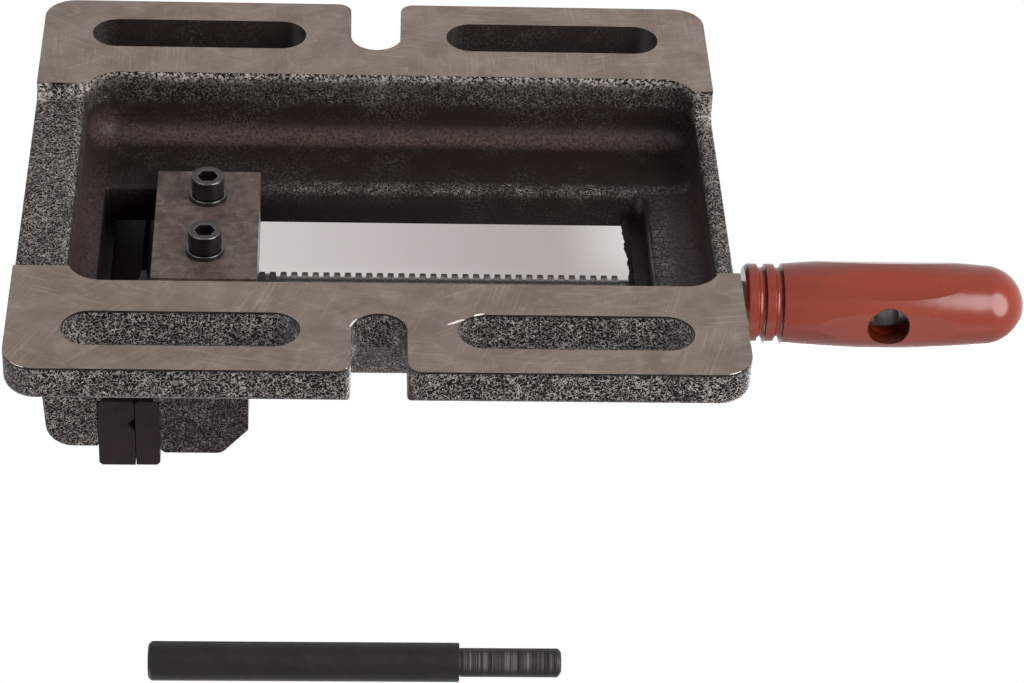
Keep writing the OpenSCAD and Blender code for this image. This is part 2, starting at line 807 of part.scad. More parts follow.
module thrust_washer() {
    color("silver") translate([0, 0, spindle_z]) difference() {
        bar_along(jaw_rear + seat_clearance, collar_x0 - seat_clearance, collar_d);
        bar_along(jaw_rear - over, collar_x0 + over, journal_d + 2 * running_clearance);
    }
}

// Cross hole through the grip's end of the spindle, about the spindle's axis
module cross_hole(d) {
    translate([cross_hole_x, 0, 0]) rotate([90 - cross_hole_dip, 0, 0])
        cylinder(h = 2 * grip_d, d = d, center = true);
}

module spindle() {
    color([0.3, 0.29, 0.29]) translate([0, 0, spindle_z]) difference() {
        union() {
            bar_along(spindle_x0, collar_x0 + over, journal_d);
            bar_along(collar_x0, collar_x1, collar_d);
            bar_along(collar_x1 - over, rod_end, rod_d);
        }
        difference() {
            bar_along(retainer_x0, retainer_x1, journal_d + over);
            bar_along(retainer_x0 - over, retainer_x1 + over, journal_d - 2 * retainer_depth);
        }
        cross_hole(spindle_hole_d);
    }
}

// Spring ring in the spindle's groove, with its gap downwards
module retaining_ring() {
    x0 = retainer_x0 + seat_clearance;
    x1 = retainer_x1 - seat_clearance;
    inner_d = journal_d - 2 * retainer_depth + 2 * seat_clearance;
    color([0.2, 0.2, 0.22]) translate([0, 0, spindle_z]) difference() {
        bar_along(x0, x1, retainer_d);
        bar_along(x0 - over, x1 + over, inner_d);
        box([x0 - over, -retainer_gap / 2, -retainer_d], [x1 + over, retainer_gap / 2, 0]);
    }
}

// Arm and hub of the nut as they stand in mesh with the rack, about the spindle's axis
module nut_arm() {
    low = nut_top - nut_block_height - spindle_z;
    high = nut_top - spindle_z;
    r = nut_hub_radius;
    circle(r);
    polygon([
        [-r, 0], [nut_arm_foot, low], [nut_root_y, low], [nut_root_y, high],
        [r, high + nut_arm_gusset], [r, 0]
    ]);
}

// Toothed block of the nut in mesh, in plan
module nut_block_plan() {
    teeth = [
        for (i = [0 : nut_teeth - 1])
            each tooth(rack_x(i), nut_root_y, nut_tip_y, rack_tip_y + addendum,
                mesh_clearance / 2 + tooth_growth)
    ];
    polygon(concat(
        [[nut_block_front, nut_hub_radius], [nut_block_front, nut_root_y]], teeth,
        [[nut_rear, nut_root_y], [nut_rear, nut_hub_radius]]
    ));
}

module swing_nut() {
    color([0.35, 0.33, 0.32]) translate([0, 0, spindle_z]) rotate([-nut_swing, 0, 0]) difference() {
        union() {
            along(nut_hub_front, nut_rear) nut_arm();
            translate([0, 0, nut_top - nut_block_height - spindle_z])
                linear_extrude(nut_block_height) nut_block_plan();
        }
        bar_along(nut_block_front - over, nut_rear + over, journal_d + 2 * running_clearance);
    }
}

// Grip

// Half outline of the grip: distance from the axis, and place along it
module grip_outline() {
    collar_r = grip_collar_d / 2;
    lead = 1;
    difference() {
        union() {
            polygon([
                [0, 0], [collar_r - lead, 0], [collar_r, lead],
                [collar_r, grip_collar_length], [0, grip_collar_length]
            ]);
            polygon(concat(
                [[0, dome_start], [0, barrel_start]],
                [for (i = [0 : barrel_steps])
                    let (place = barrel_start + i * (dome_start - barrel_start) / barrel_steps)
                    [grip_d / 2 - barrel_drop * pow((place - barrel_mid) / (dome_start - barrel_mid), 2), place]]
            ));
            intersection() {
                translate([0, dome_start]) circle(dome_r);
                translate([0, dome_start - over]) square([grip_d, grip_length]);
            }
        }
        for (ring = [1, 2])
            translate([collar_r + ring_groove / 2 - ring_depth, ring * ring_spacing])
                circle(d = ring_groove, $fn = 32);
    }
}

module grip() {
    color("firebrick") translate([0, 0, spindle_z]) difference() {
        translate([grip_x, 0, 0]) rotate([0, 90, 0]) rotate_extrude() grip_outline();
        for (i = [0 : flat_count - 1])
            rotate([i * 360 / flat_count - cross_hole_dip, 0, 0])
                translate([grip_x + flat_place, grip_d / 2 - flat_depth + flat_radius, 0])
                    cylinder(h = grip_d, r = flat_radius, center = true, $fn = 256);
        bar_along(grip_x - over, rod_end + seat_clearance, rod_d + 2 * seat_clearance);
        cross_hole(grip_hole_d);
    }
}

// Tommy bar

module tommy_bar() {
    c = bar_chamfer;
    full = bar_length + bar_end_length;
    color([0.1, 0.1, 0.1]) translate([bar_x, base_half + bar_distance, bar_d / 2]) rotate([0, 90, 0])
        rotate_extrude() polygon([
            [0, 0], [bar_d / 2 - c, 0], [bar_d / 2, c], [bar_d / 2, bar_length],
            [bar_end_d / 2, bar_length], [bar_end_d / 2, full - c], [bar_end_d / 2 - c, full], [0, full]
        ]);
}

base_casting();
fixed_jaw_plate();
fixed_jaw_screws();
rack();
rack_screws();
sliding_jaw();
moving_jaw_plate();
moving_jaw_screws();
keeper_plate();
keeper_screws();
keeper_washers();
spindle_bush();
spindle();
thrust_washer();
retaining_ring();
swing_nut();
grip();
tommy_bar();
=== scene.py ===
"""Looks of a quick-action drill press vise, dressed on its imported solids.

Everything is in metres, in the vise's own frame: +X points to the handle, +Y to the side with the
rack and +Z up. The camera looks up at the hollow underside of the base.
"""

import logging
import math
from dataclasses import dataclass, replace
from enum import Enum
from typing import Callable, Iterable, Optional, Sequence, Union

import bmesh
import bpy
from mathutils import Euler, Matrix, Vector, noise


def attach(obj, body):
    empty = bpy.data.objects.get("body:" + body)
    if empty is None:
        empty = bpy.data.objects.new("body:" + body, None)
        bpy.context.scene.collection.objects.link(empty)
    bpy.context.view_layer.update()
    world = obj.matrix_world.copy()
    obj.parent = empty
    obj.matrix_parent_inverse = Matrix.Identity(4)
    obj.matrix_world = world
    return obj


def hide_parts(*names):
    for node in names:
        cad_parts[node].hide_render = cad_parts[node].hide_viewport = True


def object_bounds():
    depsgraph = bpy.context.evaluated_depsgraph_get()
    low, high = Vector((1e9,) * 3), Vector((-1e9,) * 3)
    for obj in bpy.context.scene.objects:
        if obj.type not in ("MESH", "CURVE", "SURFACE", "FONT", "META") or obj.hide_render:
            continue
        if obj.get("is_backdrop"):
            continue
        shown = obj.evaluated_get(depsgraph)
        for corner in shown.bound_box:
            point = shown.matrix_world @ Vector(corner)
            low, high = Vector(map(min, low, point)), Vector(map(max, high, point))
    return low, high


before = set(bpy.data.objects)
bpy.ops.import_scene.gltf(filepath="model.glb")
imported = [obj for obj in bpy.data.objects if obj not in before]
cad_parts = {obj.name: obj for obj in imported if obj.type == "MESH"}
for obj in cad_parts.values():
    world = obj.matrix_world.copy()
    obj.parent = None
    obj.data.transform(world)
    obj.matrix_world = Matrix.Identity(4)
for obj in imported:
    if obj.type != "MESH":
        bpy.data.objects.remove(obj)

log = logging.getLogger("vise")

MM = 0.001
NOISE_MIDDLE = 0.5

Colour = tuple[float, float, float]
Place = tuple[float, float, float]
Triple = tuple[float, float, float]
Socket = bpy.types.NodeSocket
Value = Union[Socket, float, Sequence[float]]


def srgb(red: int, green: int, blue: int) -> Colour:
    """Turns a colour as seen on a screen into the linear one that a shader takes.

    Args:
        red: red level, from 0 to 255.
        green: green level.
        blue: blue level.

    Returns:
        The linear colour.
    """
    def linear(level: int) -> float:
        """Makes a level linear by the sRGB standard's curve."""
        share = level / 255
        return share / 12.92 if share <= 0.04045 else ((share + 0.055) / 1.055) ** 2.4

    return linear(red), linear(green), linear(blue)


def scaled(values: Sequence[float], factor: float) -> tuple[float, ...]:
    """Multiplies each of some numbers, such as a colour's parts."""
    return tuple(factor * value for value in values)


class Slot(Enum):
    """Material slots of the record that the pieces take their finish from."""

    HAMMERTONE = "hammertone"
    HAMMERTONE_FINE = "hammertone_fine"
    CAST_TEETH = "cast_teeth"
    BLACK_OXIDE = "black_oxide"
    MILL_STEEL = "mill_steel"
    TURNED_STEEL = "turned_steel"
    BRONZE = "bronze"
    RED_GRIP = "red_grip"
    BAR_BLACK = "bar_black"


@dataclass(frozen=True)
class Box:
    """A box in the vise's frame, from its lowest to its highest corner."""

    low: Place
    high: Place

    @classmethod
    def in_mm(cls, low: Place, high: Place) -> "Box":
        """Makes a box from corners in millimetres."""
        return cls(scaled(low, MM), scaled(high, MM))

    @property
    def centre(self) -> Vector:
        """Middle of the box."""
        return (Vector(self.low) + Vector(self.high)) / 2

    @property
    def half(self) -> Vector:
        """Half the size of the box along each axis."""
        return (Vector(self.high) - Vector(self.low)) / 2


@dataclass(frozen=True)
class Spot:
    """A lens-shaped mark: its place, its half sizes and its turn about Z."""

    place: Place
    half: Triple
    turn_deg: float = 0.0

    @classmethod
    def in_mm(cls, place: Place, half: Triple, turn_deg: float = 0.0) -> "Spot":
        """Makes a mark from a place and half sizes in millimetres."""
        return cls(scaled(place, MM), scaled(half, MM), turn_deg)


@dataclass(frozen=True)
class HighlightBand:
    """A painted highlight band along a round piece: its axis and the way that it faces, both in y and z.
    """

    axis: tuple[float, float]
    facing: tuple[float, float]


@dataclass(frozen=True)
class Ramp:
    """A soft step between two levels, and the results that it gives there."""

    low: float
    high: float
    start: float = 0.0
    end: float = 1.0

    def placed(self, origin: float, unit: float = 1.0) -> "Ramp":
        """Gives the ramp with its levels counted from an origin, in a unit."""
        return replace(self, low=origin + self.low * unit, high=origin + self.high * unit)


@dataclass(frozen=True)
class Lumps:
    """A noise: the size of its lumps, its finer layers, their weight and its twist."""

    size: float
    layers: float = 2.0
    weight: float = 0.5
    twist: float = 0.0

    def times(self, factor: float) -> "Lumps":
        """Gives the same noise with lumps of another size."""
        return replace(self, size=self.size * factor)


@dataclass(frozen=True)
class Patches:
    """Soft patches that a ramp cuts out of a noise."""

    lumps: Lumps
    ramp: Ramp

    def times(self, factor: float) -> "Patches":
        """Gives the same patches at another size."""
        return replace(self, lumps=self.lumps.times(factor))


@dataclass(frozen=True)
class Relief:
    """A relief: its depth in metres and how strongly it shows."""

    depth: float
    strength: float


class Graph:
    """The node tree of one material, with short calls that add nodes and join them.

    The values that begin with mix are the numbers of a Mix node's colour sockets.
    """

    mix_first = 6
    mix_second = 7
    mix_result = 2
    fray = Lumps(0.8 * MM, 3.0)
    frayed_edge = Ramp(0.75, 1.0, 1.0, 0.0)
    box_fade = Ramp(0.25, 1.0, 1.0, 0.0)
    arc_noise = Lumps(1.0, 2.0, 0.6)

    def __init__(self, name: str) -> None:
        """Starts a material with one principled shader on Object coordinates.

        Args:
            name: name of the material.
        """
        self.material = bpy.data.materials.new(name)
        self.material.use_nodes = True
        self.tree = self.material.node_tree
        self.tree.nodes.clear()
        self.shader = self.add("ShaderNodeBsdfPrincipled")
        self.output = self.add("ShaderNodeOutputMaterial")
        self.put(self.output.inputs["Surface"], self.shader.outputs["BSDF"])
        self.place = self.add("ShaderNodeTexCoord").outputs["Object"]
        self.x, self.y, self.z = self.split(self.place)

    def add(self, kind: str, **settings: object) -> bpy.types.Node:
        """Adds a node.

        Args:
            kind: the node's type.
            settings: its properties.

        Returns:
            The node.
        """
        node = self.tree.nodes.new(kind)
        for name, value in settings.items():
            setattr(node, name, value)
        return node

    def put(self, socket: Socket, value: Value) -> None:
        """Joins a socket to an output, or sets its own value.

        Args:
            socket: the input.
            value: the output that it takes, or its value.
        """
        if isinstance(value, bpy.types.NodeSocket):
            self.tree.links.new(value, socket)
        elif socket.type == "RGBA" and len(value) == 3:
            socket.default_value = (*value, 1.0)
        else:
            socket.default_value = value

    def fill(self, node: bpy.types.Node, **inputs: Value) -> bpy.types.Node:
        """Fills some inputs of a node.

        Args:
            node: the node.
            inputs: values under the inputs' names, with low lines in place of spaces.

        Returns:
            The node.
        """
        for name, value in inputs.items():
            self.put(node.inputs[name.replace("_", " ")], value)
        return node

    def split(self, vector: Socket) -> tuple[Socket, Socket, Socket]:
        """Splits a vector into its three parts."""
        return tuple(self.fill(self.add("ShaderNodeSeparateXYZ"), Vector=vector).outputs)

    def calc(self, operation: str, first: Value, second: Value = 0.0) -> Socket:
        """Adds a Math node.

        Args:
            operation: the node's operation, such as MAXIMUM.
            first: its first value.
            second: its second value.

        Returns:
            The node's result.
        """
        node = self.add("ShaderNodeMath", operation=operation)
        self.put(node.inputs[0], first)
        self.put(node.inputs[1], second)
        return node.outputs["Value"]

    def vector_calc(self, operation: str, first: Value,
                    second: Value = (0.0, 0.0, 0.0)) -> bpy.types.Node:
        """Adds a Vector Math node.

        Args:
            operation: the node's operation, such as DISTANCE.
            first: its first vector.
            second: its second vector.

        Returns:
            The node, whose result is its Vector or its Value.
        """
        node = self.add("ShaderNodeVectorMath", operation=operation)
        self.put(node.inputs[0], first)
        self.put(node.inputs[1], second)
        return node

    def times(self, first: Value, second: Value) -> Socket:
        """Multiplies two values."""
        return self.calc("MULTIPLY", first, second)

    def less(self, value: Value, share: Value) -> Socket:
        """Gives a value from which a share of it is taken away."""
        return self.times(value, self.calc("SUBTRACT", 1.0, share))

    def remap(self, value: Value, ramp: Ramp) -> Socket:
        """Maps a value by a ramp, and holds it at the ramp's ends.

        Args:
            value: what is mapped.
            ramp: the ramp.

        Returns:
            The mapped value.
        """
        node = self.add("ShaderNodeMapRange", interpolation_type="SMOOTHSTEP")
        self.fill(node, Value=value, From_Min=ramp.low, From_Max=ramp.high,
                  To_Min=ramp.start, To_Max=ramp.end)
        return node.outputs["Result"]

    def mix(self, share: Value, first: Value, second: Value) -> Socket:
        """Mixes two colours.

        Args:
            share: share of the second one.
            first: colour at a share of 0.
            second: colour at a share of 1.

        Returns:
            The mixed colour.
        """
        node = self.fill(self.add("ShaderNodeMix", data_type="RGBA"), Factor=share)
        self.put(node.inputs[self.mix_first], first)
        self.put(node.inputs[self.mix_second], second)
        return node.outputs[self.mix_result]

    def tint(self, base: Value, share: Value, strength: float, colour: Value) -> Socket:
        """Mixes a colour into a base by a share, at a strength."""
        return self.mix(self.times(share, strength), base, colour)

    def stretched(self, scale: Sequence[float]) -> Socket:
        """Gives Object coordinates that are scaled along each axis."""
        node = self.add("ShaderNodeMapping", vector_type="TEXTURE")
        return self.fill(node, Vector=self.place, Scale=[1 / part for part in scale]).outputs["Vector"]

    def noise(self, lumps: Lumps, place: Optional[Socket] = None) -> Socket:
        """Adds a noise.

        Args:
            lumps: its lumps, with their size in metres or in the units of place.
            place: coordinates to use, if not Object coordinates.

        Returns:
            The noise, from 0 to 1 about its middle.
        """
        node = self.add("ShaderNodeTexNoise", noise_dimensions="3D")
        self.fill(node, Vector=place or self.place, Scale=1 / lumps.size, Detail=lumps.layers,
                  Roughness=lumps.weight, Distortion=lumps.twist)
        return node.outputs["Fac"]

    def swing(self, lumps: Lumps) -> Socket:
        """Adds a noise that swings about 0."""
        return self.calc("SUBTRACT", self.noise(lumps), NOISE_MIDDLE)

    def patches(self, patches: Patches) -> Socket:
        """Adds soft patches."""
        return self.remap(self.noise(patches.lumps), patches.ramp)

    def specks(self, spacing: float, ramp: Ramp) -> Socket:
        """Adds specks, by the distance from each cell's middle in cells.

        Args:
            spacing: size of a cell, in metres.
            ramp: result for each distance.

        Returns:
            The specks.
        """
        cells = self.add("ShaderNodeTexVoronoi", feature="F1")
        self.fill(cells, Vector=self.place, Scale=1 / spacing)
        return self.remap(cells.outputs["Distance"], ramp)

    def arcs(self, centre: Place, line: float, length: float) -> Socket:
        """Adds a noise drawn out along arcs about a far centre, as a grinding wheel leaves it.

        Args:
            centre: centre of the arcs.
            line: distance between marks.
            length: length of a mark.

        Returns:
            The noise, from 0 to 1 about its middle.
        """
        reach = self.vector_calc("DISTANCE", self.place, centre).outputs["Value"]
        ring = self.times(reach, 1 / line)
        run = self.times(self.calc("ADD", self.x, self.y), 1 / length)
        place = self.fill(self.add("ShaderNodeCombineXYZ"), X=ring, Y=run).outputs["Vector"]
        return self.noise(self.arc_noise, place)

    def from_middle(self, mark: Spot) -> Socket:
        """Gives how far out of a mark's middle a place lies.

        Args:
            mark: the mark.

        Returns:
            0 in the middle and 1 at the border.
        """
        node = self.add("ShaderNodeMapping", vector_type="TEXTURE")
        turn = (0.0, 0.0, math.radians(mark.turn_deg))
        self.fill(node, Vector=self.place, Location=mark.place, Rotation=turn, Scale=mark.half)
        return self.vector_calc("LENGTH", node.outputs["Vector"]).outputs["Value"]

    def within(self, mark: Spot) -> Socket:
        """Gives 1 within a mark and 0 outside it."""
        return self.calc("LESS_THAN", self.from_middle(mark), 1.0)

    def spot(self, mark: Spot) -> Socket:
        """Gives a mark with frayed edges: 1 in its middle and 0 outside it."""
        frayed = self.calc("ADD", self.from_middle(mark), self.swing(self.fray))
        return self.remap(frayed, self.frayed_edge)

    def towards_highlight_band(self, highlight_band: HighlightBand) -> Socket:
        """Gives how far from a round piece's axis a place lies on the side of its painted highlight band.

        Args:
            highlight_band: the painted highlight band.

        Returns:
            The distance, in metres.
        """
        off_y = self.calc("SUBTRACT", self.y, highlight_band.axis[0])
        off_z = self.calc("SUBTRACT", self.z, highlight_band.axis[1])
        return self.calc("ADD", self.times(off_y, highlight_band.facing[0]), self.times(off_z, highlight_band.facing[1]))

    def any_of(self, shares: Iterable[Socket]) -> Optional[Socket]:
        """Combines shares.

        Args:
            shares: the shares.

        Returns:
            The largest of them, or None without any.
        """
        most = None
        for share in shares:
            most = share if most is None else self.calc("MAXIMUM", most, share)
        return most

    def reach(self, box: Box) -> Socket:
        """Gives how far out of a box's middle a place lies.

        Args:
            box: the box.

        Returns:
            0 in the middle and 1 at the faces.
        """
        centred = self.vector_calc("SUBTRACT", self.place, box.centre).outputs["Vector"]
        apart = self.vector_calc("ABSOLUTE", centred).outputs["Vector"]
        return self.any_of(self.split(self.vector_calc("DIVIDE", apart, box.half).outputs["Vector"]))

    def inside(self, box: Box) -> Socket:
        """Gives 1 within a box and 0 outside it."""
        return self.calc("LESS_THAN", self.reach(box), 1.0)

    def towards(self, boxes: Iterable[Box]) -> Optional[Socket]:
        """Gives a share that rises softly from 0 at some boxes' faces to 1 near their middles."""
        return self.any_of(self.remap(self.reach(box), self.box_fade) for box in boxes)

    def bump(self, height: Socket, relief: Relief, under: Optional[Socket] = None) -> Socket:
        """Adds relief.

        Args:
            height: the relief's pattern, from 0 to 1.
            relief: its depth and strength.
            under: relief that lies below this one.

        Returns:
            The normal with that relief.
        """
        node = self.add("ShaderNodeBump")
        self.fill(node, Strength=relief.strength, Distance=relief.depth, Height=height)
        if under is not None:
            self.put(node.inputs["Normal"], under)
        return node.outputs["Normal"]

    def finish(self, **sockets: Value) -> bpy.types.Material:
        """Fills the shader's sockets and returns the material."""
        self.fill(self.shader, **sockets)
        return self.material


@dataclass(frozen=True)
class HammertonePaint:
    """Black lacquer with a maze of silver veins, which pools dark and smooth in hollows; painted shade,
    painted sheen and painted highlights are laid on it in places.

    The patterns whose names begin with vein are sized in veins.
    """

    name: str
    vein: float
    cover: float
    ground: Colour
    silver: Colour
    pooled: Colour
    pools: tuple[Box, ...] = ()
    dark: tuple[Box, ...] = ()
    thin: tuple[Box, ...] = ()
    rubbed_and_lit: tuple[Box, ...] = ()
    painted_sheen: tuple[Box, ...] = ()
    shaded_sides: tuple[Box, ...] = ()
    pad_edge_shadow: Optional[Ramp] = None
    painted_sheen_colour: Colour = srgb(75, 61, 57)
    side_shade_strength: float = 0.6
    rim_depth: float = 3.6 * MM
    rim_shade: tuple[float, float] = (0.02, 0.76)
    pool_depth: float = 12 * MM
    waver_height: float = 6 * MM
    waver: Lumps = Lumps(9 * MM, 3.0)
    vein_maze: Lumps = Lumps(1.0, 1.0, 0.4, 0.5)
    vein_line: Ramp = Ramp(0.25, 1.4, 1.0, 0.0)
    vein_width: Patches = Patches(Lumps(9.0), Ramp(0.3, 0.7, 0.75, 1.3))
    vein_glint: Patches = Patches(Lumps(2.2), Ramp(0.3, 0.7, 0.42, 1.0))
    vein_grit: Patches = Patches(Lumps(0.7, 2.0, 0.6), Ramp(0.45, 0.68))
    thinning: Patches = Patches(Lumps(5 * MM, 3.0), Ramp(0.34, 0.66, 0.26, 0.52))
    chips: Patches = Patches(Lumps(0.9 * MM, 3.0, 0.6), Ramp(0.47, 0.6, 0.0, 1.25))
    dust: Patches = Patches(Lumps(16 * MM, 3.0), Ramp(0.42, 0.72, 0.01, 0.1))
    grain: Patches = Patches(Lumps(0.9 * MM, 3.0, 0.7), Ramp(0.36, 0.64, 0.1, 1.0))
    cast: Lumps = Lumps(7 * MM, 4.0, 0.6)
    cast_relief: Relief = Relief(0.3 * MM, 0.5)
    vein_relief: Relief = Relief(0.07 * MM, 0.6)
    pooled_relief: float = 0.3
    roughness: float = 0.4
    pooled_roughness: float = 0.36
    gloss: float = 0.1

    def veins(self, look: Graph) -> Socket:
        """Draws the maze: bright where a noise crosses its middle.

        Args:
            look: nodes of the material.

        Returns:
            The share of silver.
        """
        apart = look.calc("ABSOLUTE", look.swing(self.vein_maze.times(self.vein)))
        width = look.times(look.patches(self.vein_width.times(self.vein)), self.cover)
        line = look.remap(look.calc("DIVIDE", apart, width), self.vein_line)
        return look.times(line, look.patches(self.vein_glint.times(self.vein)))

    def flecks(self, look: Graph) -> Socket:
        """Draws all silver: the veins, faded to a painted shadow line at the ground pads' edge, and
        silver chips where paint wears off edges, which also stand as painted highlights.

        Args:
            look: nodes of the material.

        Returns:
            The share of silver.
        """
        fleck = self.veins(look)
        # Painted shadow: the flecks fade to a dark line just above the ground pads.
        if self.pad_edge_shadow is not None:
            fleck = look.times(fleck, look.remap(look.z, self.pad_edge_shadow))
        # Silver chips where paint wears off the edges, also painted highlights where the edges catch the
        # light.
        bare = look.towards(self.rubbed_and_lit)
        if bare is not None:
            fleck = look.calc("MAXIMUM", fleck, look.times(bare, look.patches(self.chips)))
        return fleck

    def pooling_and_painted_shade(self, look: Graph) -> Socket:
        """Finds where paint has pooled, with painted shade: darker deeper in the hollows, less where the
        paint is thin, and full in the dark boxes.

        Args:
            look: nodes of the material.

        Returns:
            The share of pooled paint and painted shade.
        """
        depth = look.calc("ADD", look.z, look.times(look.swing(self.waver), self.waver_height))
        # Painted shade: the pooled dark rises from the rim deeper into the hollows.
        rim = look.remap(depth, Ramp(0.0, self.rim_depth, *self.rim_shade))
        full = look.calc("MAXIMUM", rim, look.remap(depth, Ramp(self.rim_depth, self.pool_depth)))
        pool_and_shade = look.times(look.any_of(look.inside(box) for box in self.pools), full)
        thin = look.towards(self.thin)
        if thin is not None:
            pool_and_shade = look.less(pool_and_shade, look.times(thin, look.patches(self.thinning)))
        # Fully dark in the dark boxes; the one under the fixed jaw's plate is painted shade.
        return look.any_of([pool_and_shade, *(look.inside(box) for box in self.dark)])

    def pooled_colour(self, look: Graph) -> Socket:
        """Colours the pooled paint, with its dust, painted shade on given sides and a painted brown sheen
        on some walls.

        Args:
            look: nodes of the material.

        Returns:
            The colour.
        """
        dust, deep = look.patches(self.dust), self.pooled
        # Painted shade: on the deck slot's side the pooled paint is darker, with less dust.
        shaded_sides = look.towards(self.shaded_sides)
        if shaded_sides is not None:
            dust = look.less(dust, shaded_sides)
            deep = look.tint(self.pooled, shaded_sides, self.side_shade_strength, self.ground)
        grit = look.patches(self.vein_grit.times(self.vein))
        colour = look.mix(look.times(grit, dust), deep, self.silver)
        # Painted sheen: lighter brown where the end walls, the far fillet and the far left corner catch
        # the light.
        painted_sheen = look.towards(self.painted_sheen)
        if painted_sheen is not None:
            colour = look.mix(look.times(painted_sheen, look.patches(self.grain)), colour, self.painted_sheen_colour)
        return colour

    def make(self) -> bpy.types.Material:
        """Builds the finish.

        Returns:
            The material.
        """
        look = Graph(self.name)
        fleck = self.flecks(look)
        colour, relief, shine = look.mix(fleck, self.ground, self.silver), fleck, self.roughness
        if self.pools:
            pool_and_shade = self.pooling_and_painted_shade(look)
            colour = look.mix(pool_and_shade, colour, self.pooled_colour(look))
            shine = look.remap(pool_and_shade, Ramp(0.0, 1.0, self.roughness, self.pooled_roughness))
            relief = look.times(fleck, look.remap(pool_and_shade, Ramp(0.0, 1.0, 1.0, self.pooled_relief)))
        cast = look.bump(look.noise(self.cast), self.cast_relief)
        return look.finish(Base_Color=colour, Roughness=shine, Specular_IOR_Level=self.gloss,
                           Normal=look.bump(relief, self.vein_relief, cast))


@dataclass(frozen=True)
class GroundSteel:
    """Iron or steel with the fine arcs of grinding wheels, clouded by handling, with painted shade that
    may darken it towards +y.

    Each further wheel's marks are coarser by one step. The clouds are sized in stains.
    """

    name: str
    colour: Colour
    stain: Colour
    bright: Colour
    wheels: tuple[Place, ...]
    stain_size: float
    stain_share: float
    mark_share: float
    roughness: float
    chips: tuple[Spot, ...] = ()
    metallic: float = 0.3
    near_side_shade: float = 0.0
    near_side_shade_reach: float = 80 * MM
    line: float = 0.55 * MM
    line_step: float = 0.15 * MM
    length: float = 14 * MM
    length_step: float = 5 * MM
    patch: float = 17 * MM
    patch_step: float = 7 * MM
    patch_layers: float = 1.0
    patch_ramp: Ramp = Ramp(0.42, 0.6)
    ridge: Ramp = Ramp(0.52, 0.78)
    groove: Ramp = Ramp(0.28, 0.46, 1.0, 0.0)
    groove_share: float = 0.7
    cloud: Patches = Patches(Lumps(1.0, 5.0, 0.6), Ramp(0.38, 0.66))
    clearing: Patches = Patches(Lumps(0.55, 4.0, 0.6, 0.6), Ramp(0.48, 0.72, 0.0, 0.6))
    fine: Patches = Patches(Lumps(0.6 * MM, 3.0, 0.6), Ramp(0.3, 0.7, 0.0, 0.3))
    pit_spacing: float = 15 * MM
    pit: Ramp = Ramp(0.018, 0.032, 0.85, 0.0)
    pit_shade: float = 0.2
    chip_colour: Colour = srgb(232, 225, 220)
    chip_roughness: float = 0.3
    chip_metallic: float = 0.8
    mark_relief: Relief = Relief(0.02 * MM, 0.3)
    gloss: float = 0.25

    def marks(self, look: Graph) -> tuple[Socket, Socket]:
        """Draws the wheels' marks.

        Args:
            look: nodes of the material.

        Returns:
            The shares of bright ridges and of dark grooves.
        """
        ridges, grooves = [], []
        for number, wheel in enumerate(self.wheels):
            line = self.line + number * self.line_step
            lines = look.arcs(wheel, line, self.length + number * self.length_step)
            lumps = Lumps(self.patch + number * self.patch_step, self.patch_layers)
            patch = look.patches(Patches(lumps, self.patch_ramp))
            ridges.append(look.times(look.remap(lines, self.ridge), patch))
            grooves.append(look.times(look.remap(lines, self.groove), patch))
        return look.any_of(ridges), look.any_of(grooves)

    def make(self) -> bpy.types.Material:
        """Builds the finish.

        Returns:
            The material.
        """
        look = Graph(self.name)
        ridge, groove = self.marks(look)
        cloud = look.patches(self.cloud.times(self.stain_size))
        clearing = look.patches(self.clearing.times(self.stain_size))
        base = look.mix(look.patches(self.fine), self.colour, self.stain)
        # Painted shade: the steel darkens towards +y, so the near pads come out darker than the far ones.
        near_side_shade = look.remap(look.y, Ramp(-self.near_side_shade_reach, self.near_side_shade_reach, 0.0, self.near_side_shade))
        base = look.mix(near_side_shade, base, self.stain)
        base = look.tint(base, cloud, self.stain_share, self.stain)
        base = look.tint(base, clearing, self.stain_share, self.bright)
        base = look.tint(base, groove, self.groove_share * self.mark_share, self.stain)
        base = look.tint(base, ridge, self.mark_share, self.bright)
        pits = look.specks(self.pit_spacing, self.pit)
        base = look.mix(pits, base, scaled(self.stain, self.pit_shade))
        shine, metal = self.roughness, self.metallic
        bare = look.any_of(look.spot(mark) for mark in self.chips)
        if bare is not None:
            base = look.mix(bare, base, self.chip_colour)
            shine = look.remap(bare, Ramp(0.0, 1.0, self.roughness, self.chip_roughness))
            metal = look.remap(bare, Ramp(0.0, 1.0, self.metallic, self.chip_metallic))
        return look.finish(Base_Color=base, Roughness=shine, Metallic=metal,
                           Normal=look.bump(ridge, self.mark_relief), Specular_IOR_Level=self.gloss)


@dataclass(frozen=True)
class BlackOxide:
    """Blackened steel, a little brown, with dust and faint handling marks."""

    name: str
    colour: Colour
    brown: Colour
    roughness: float
    gloss: float = 0.2
    metallic: float = 0.0
    cloud: Patches = Patches(Lumps(7 * MM, 5.0, 0.6), Ramp(0.35, 0.7))
    dust_spacing: float = 4.2 * MM
    dust: Ramp = Ramp(0.02, 0.045, 1.0, 0.0)
    dust_share: float = 0.3
    dust_shade: float = 4.0
    handling: Patches = Patches(Lumps(1.7 * MM, 4.0), Ramp(0.3, 0.7, -0.06, 0.08))
    skin: Lumps = Lumps(0.5 * MM, 3.0)
    skin_relief: Relief = Relief(0.015 * MM, 0.25)

    def make(self) -> bpy.types.Material:
        """Builds the finish.

        Returns:
            The material.
        """
        look = Graph(self.name)
        base = look.mix(look.patches(self.cloud), self.colour, self.brown)
        specks = look.specks(self.dust_spacing, self.dust)
        base = look.tint(base, specks, self.dust_share, scaled(self.brown, self.dust_shade))
        shine = look.calc("ADD", look.patches(self.handling), self.roughness)
        normal = look.bump(look.noise(self.skin), self.skin_relief)
        return look.finish(Base_Color=base, Roughness=shine, Metallic=self.metallic, Normal=normal,
                           Specular_IOR_Level=self.gloss)


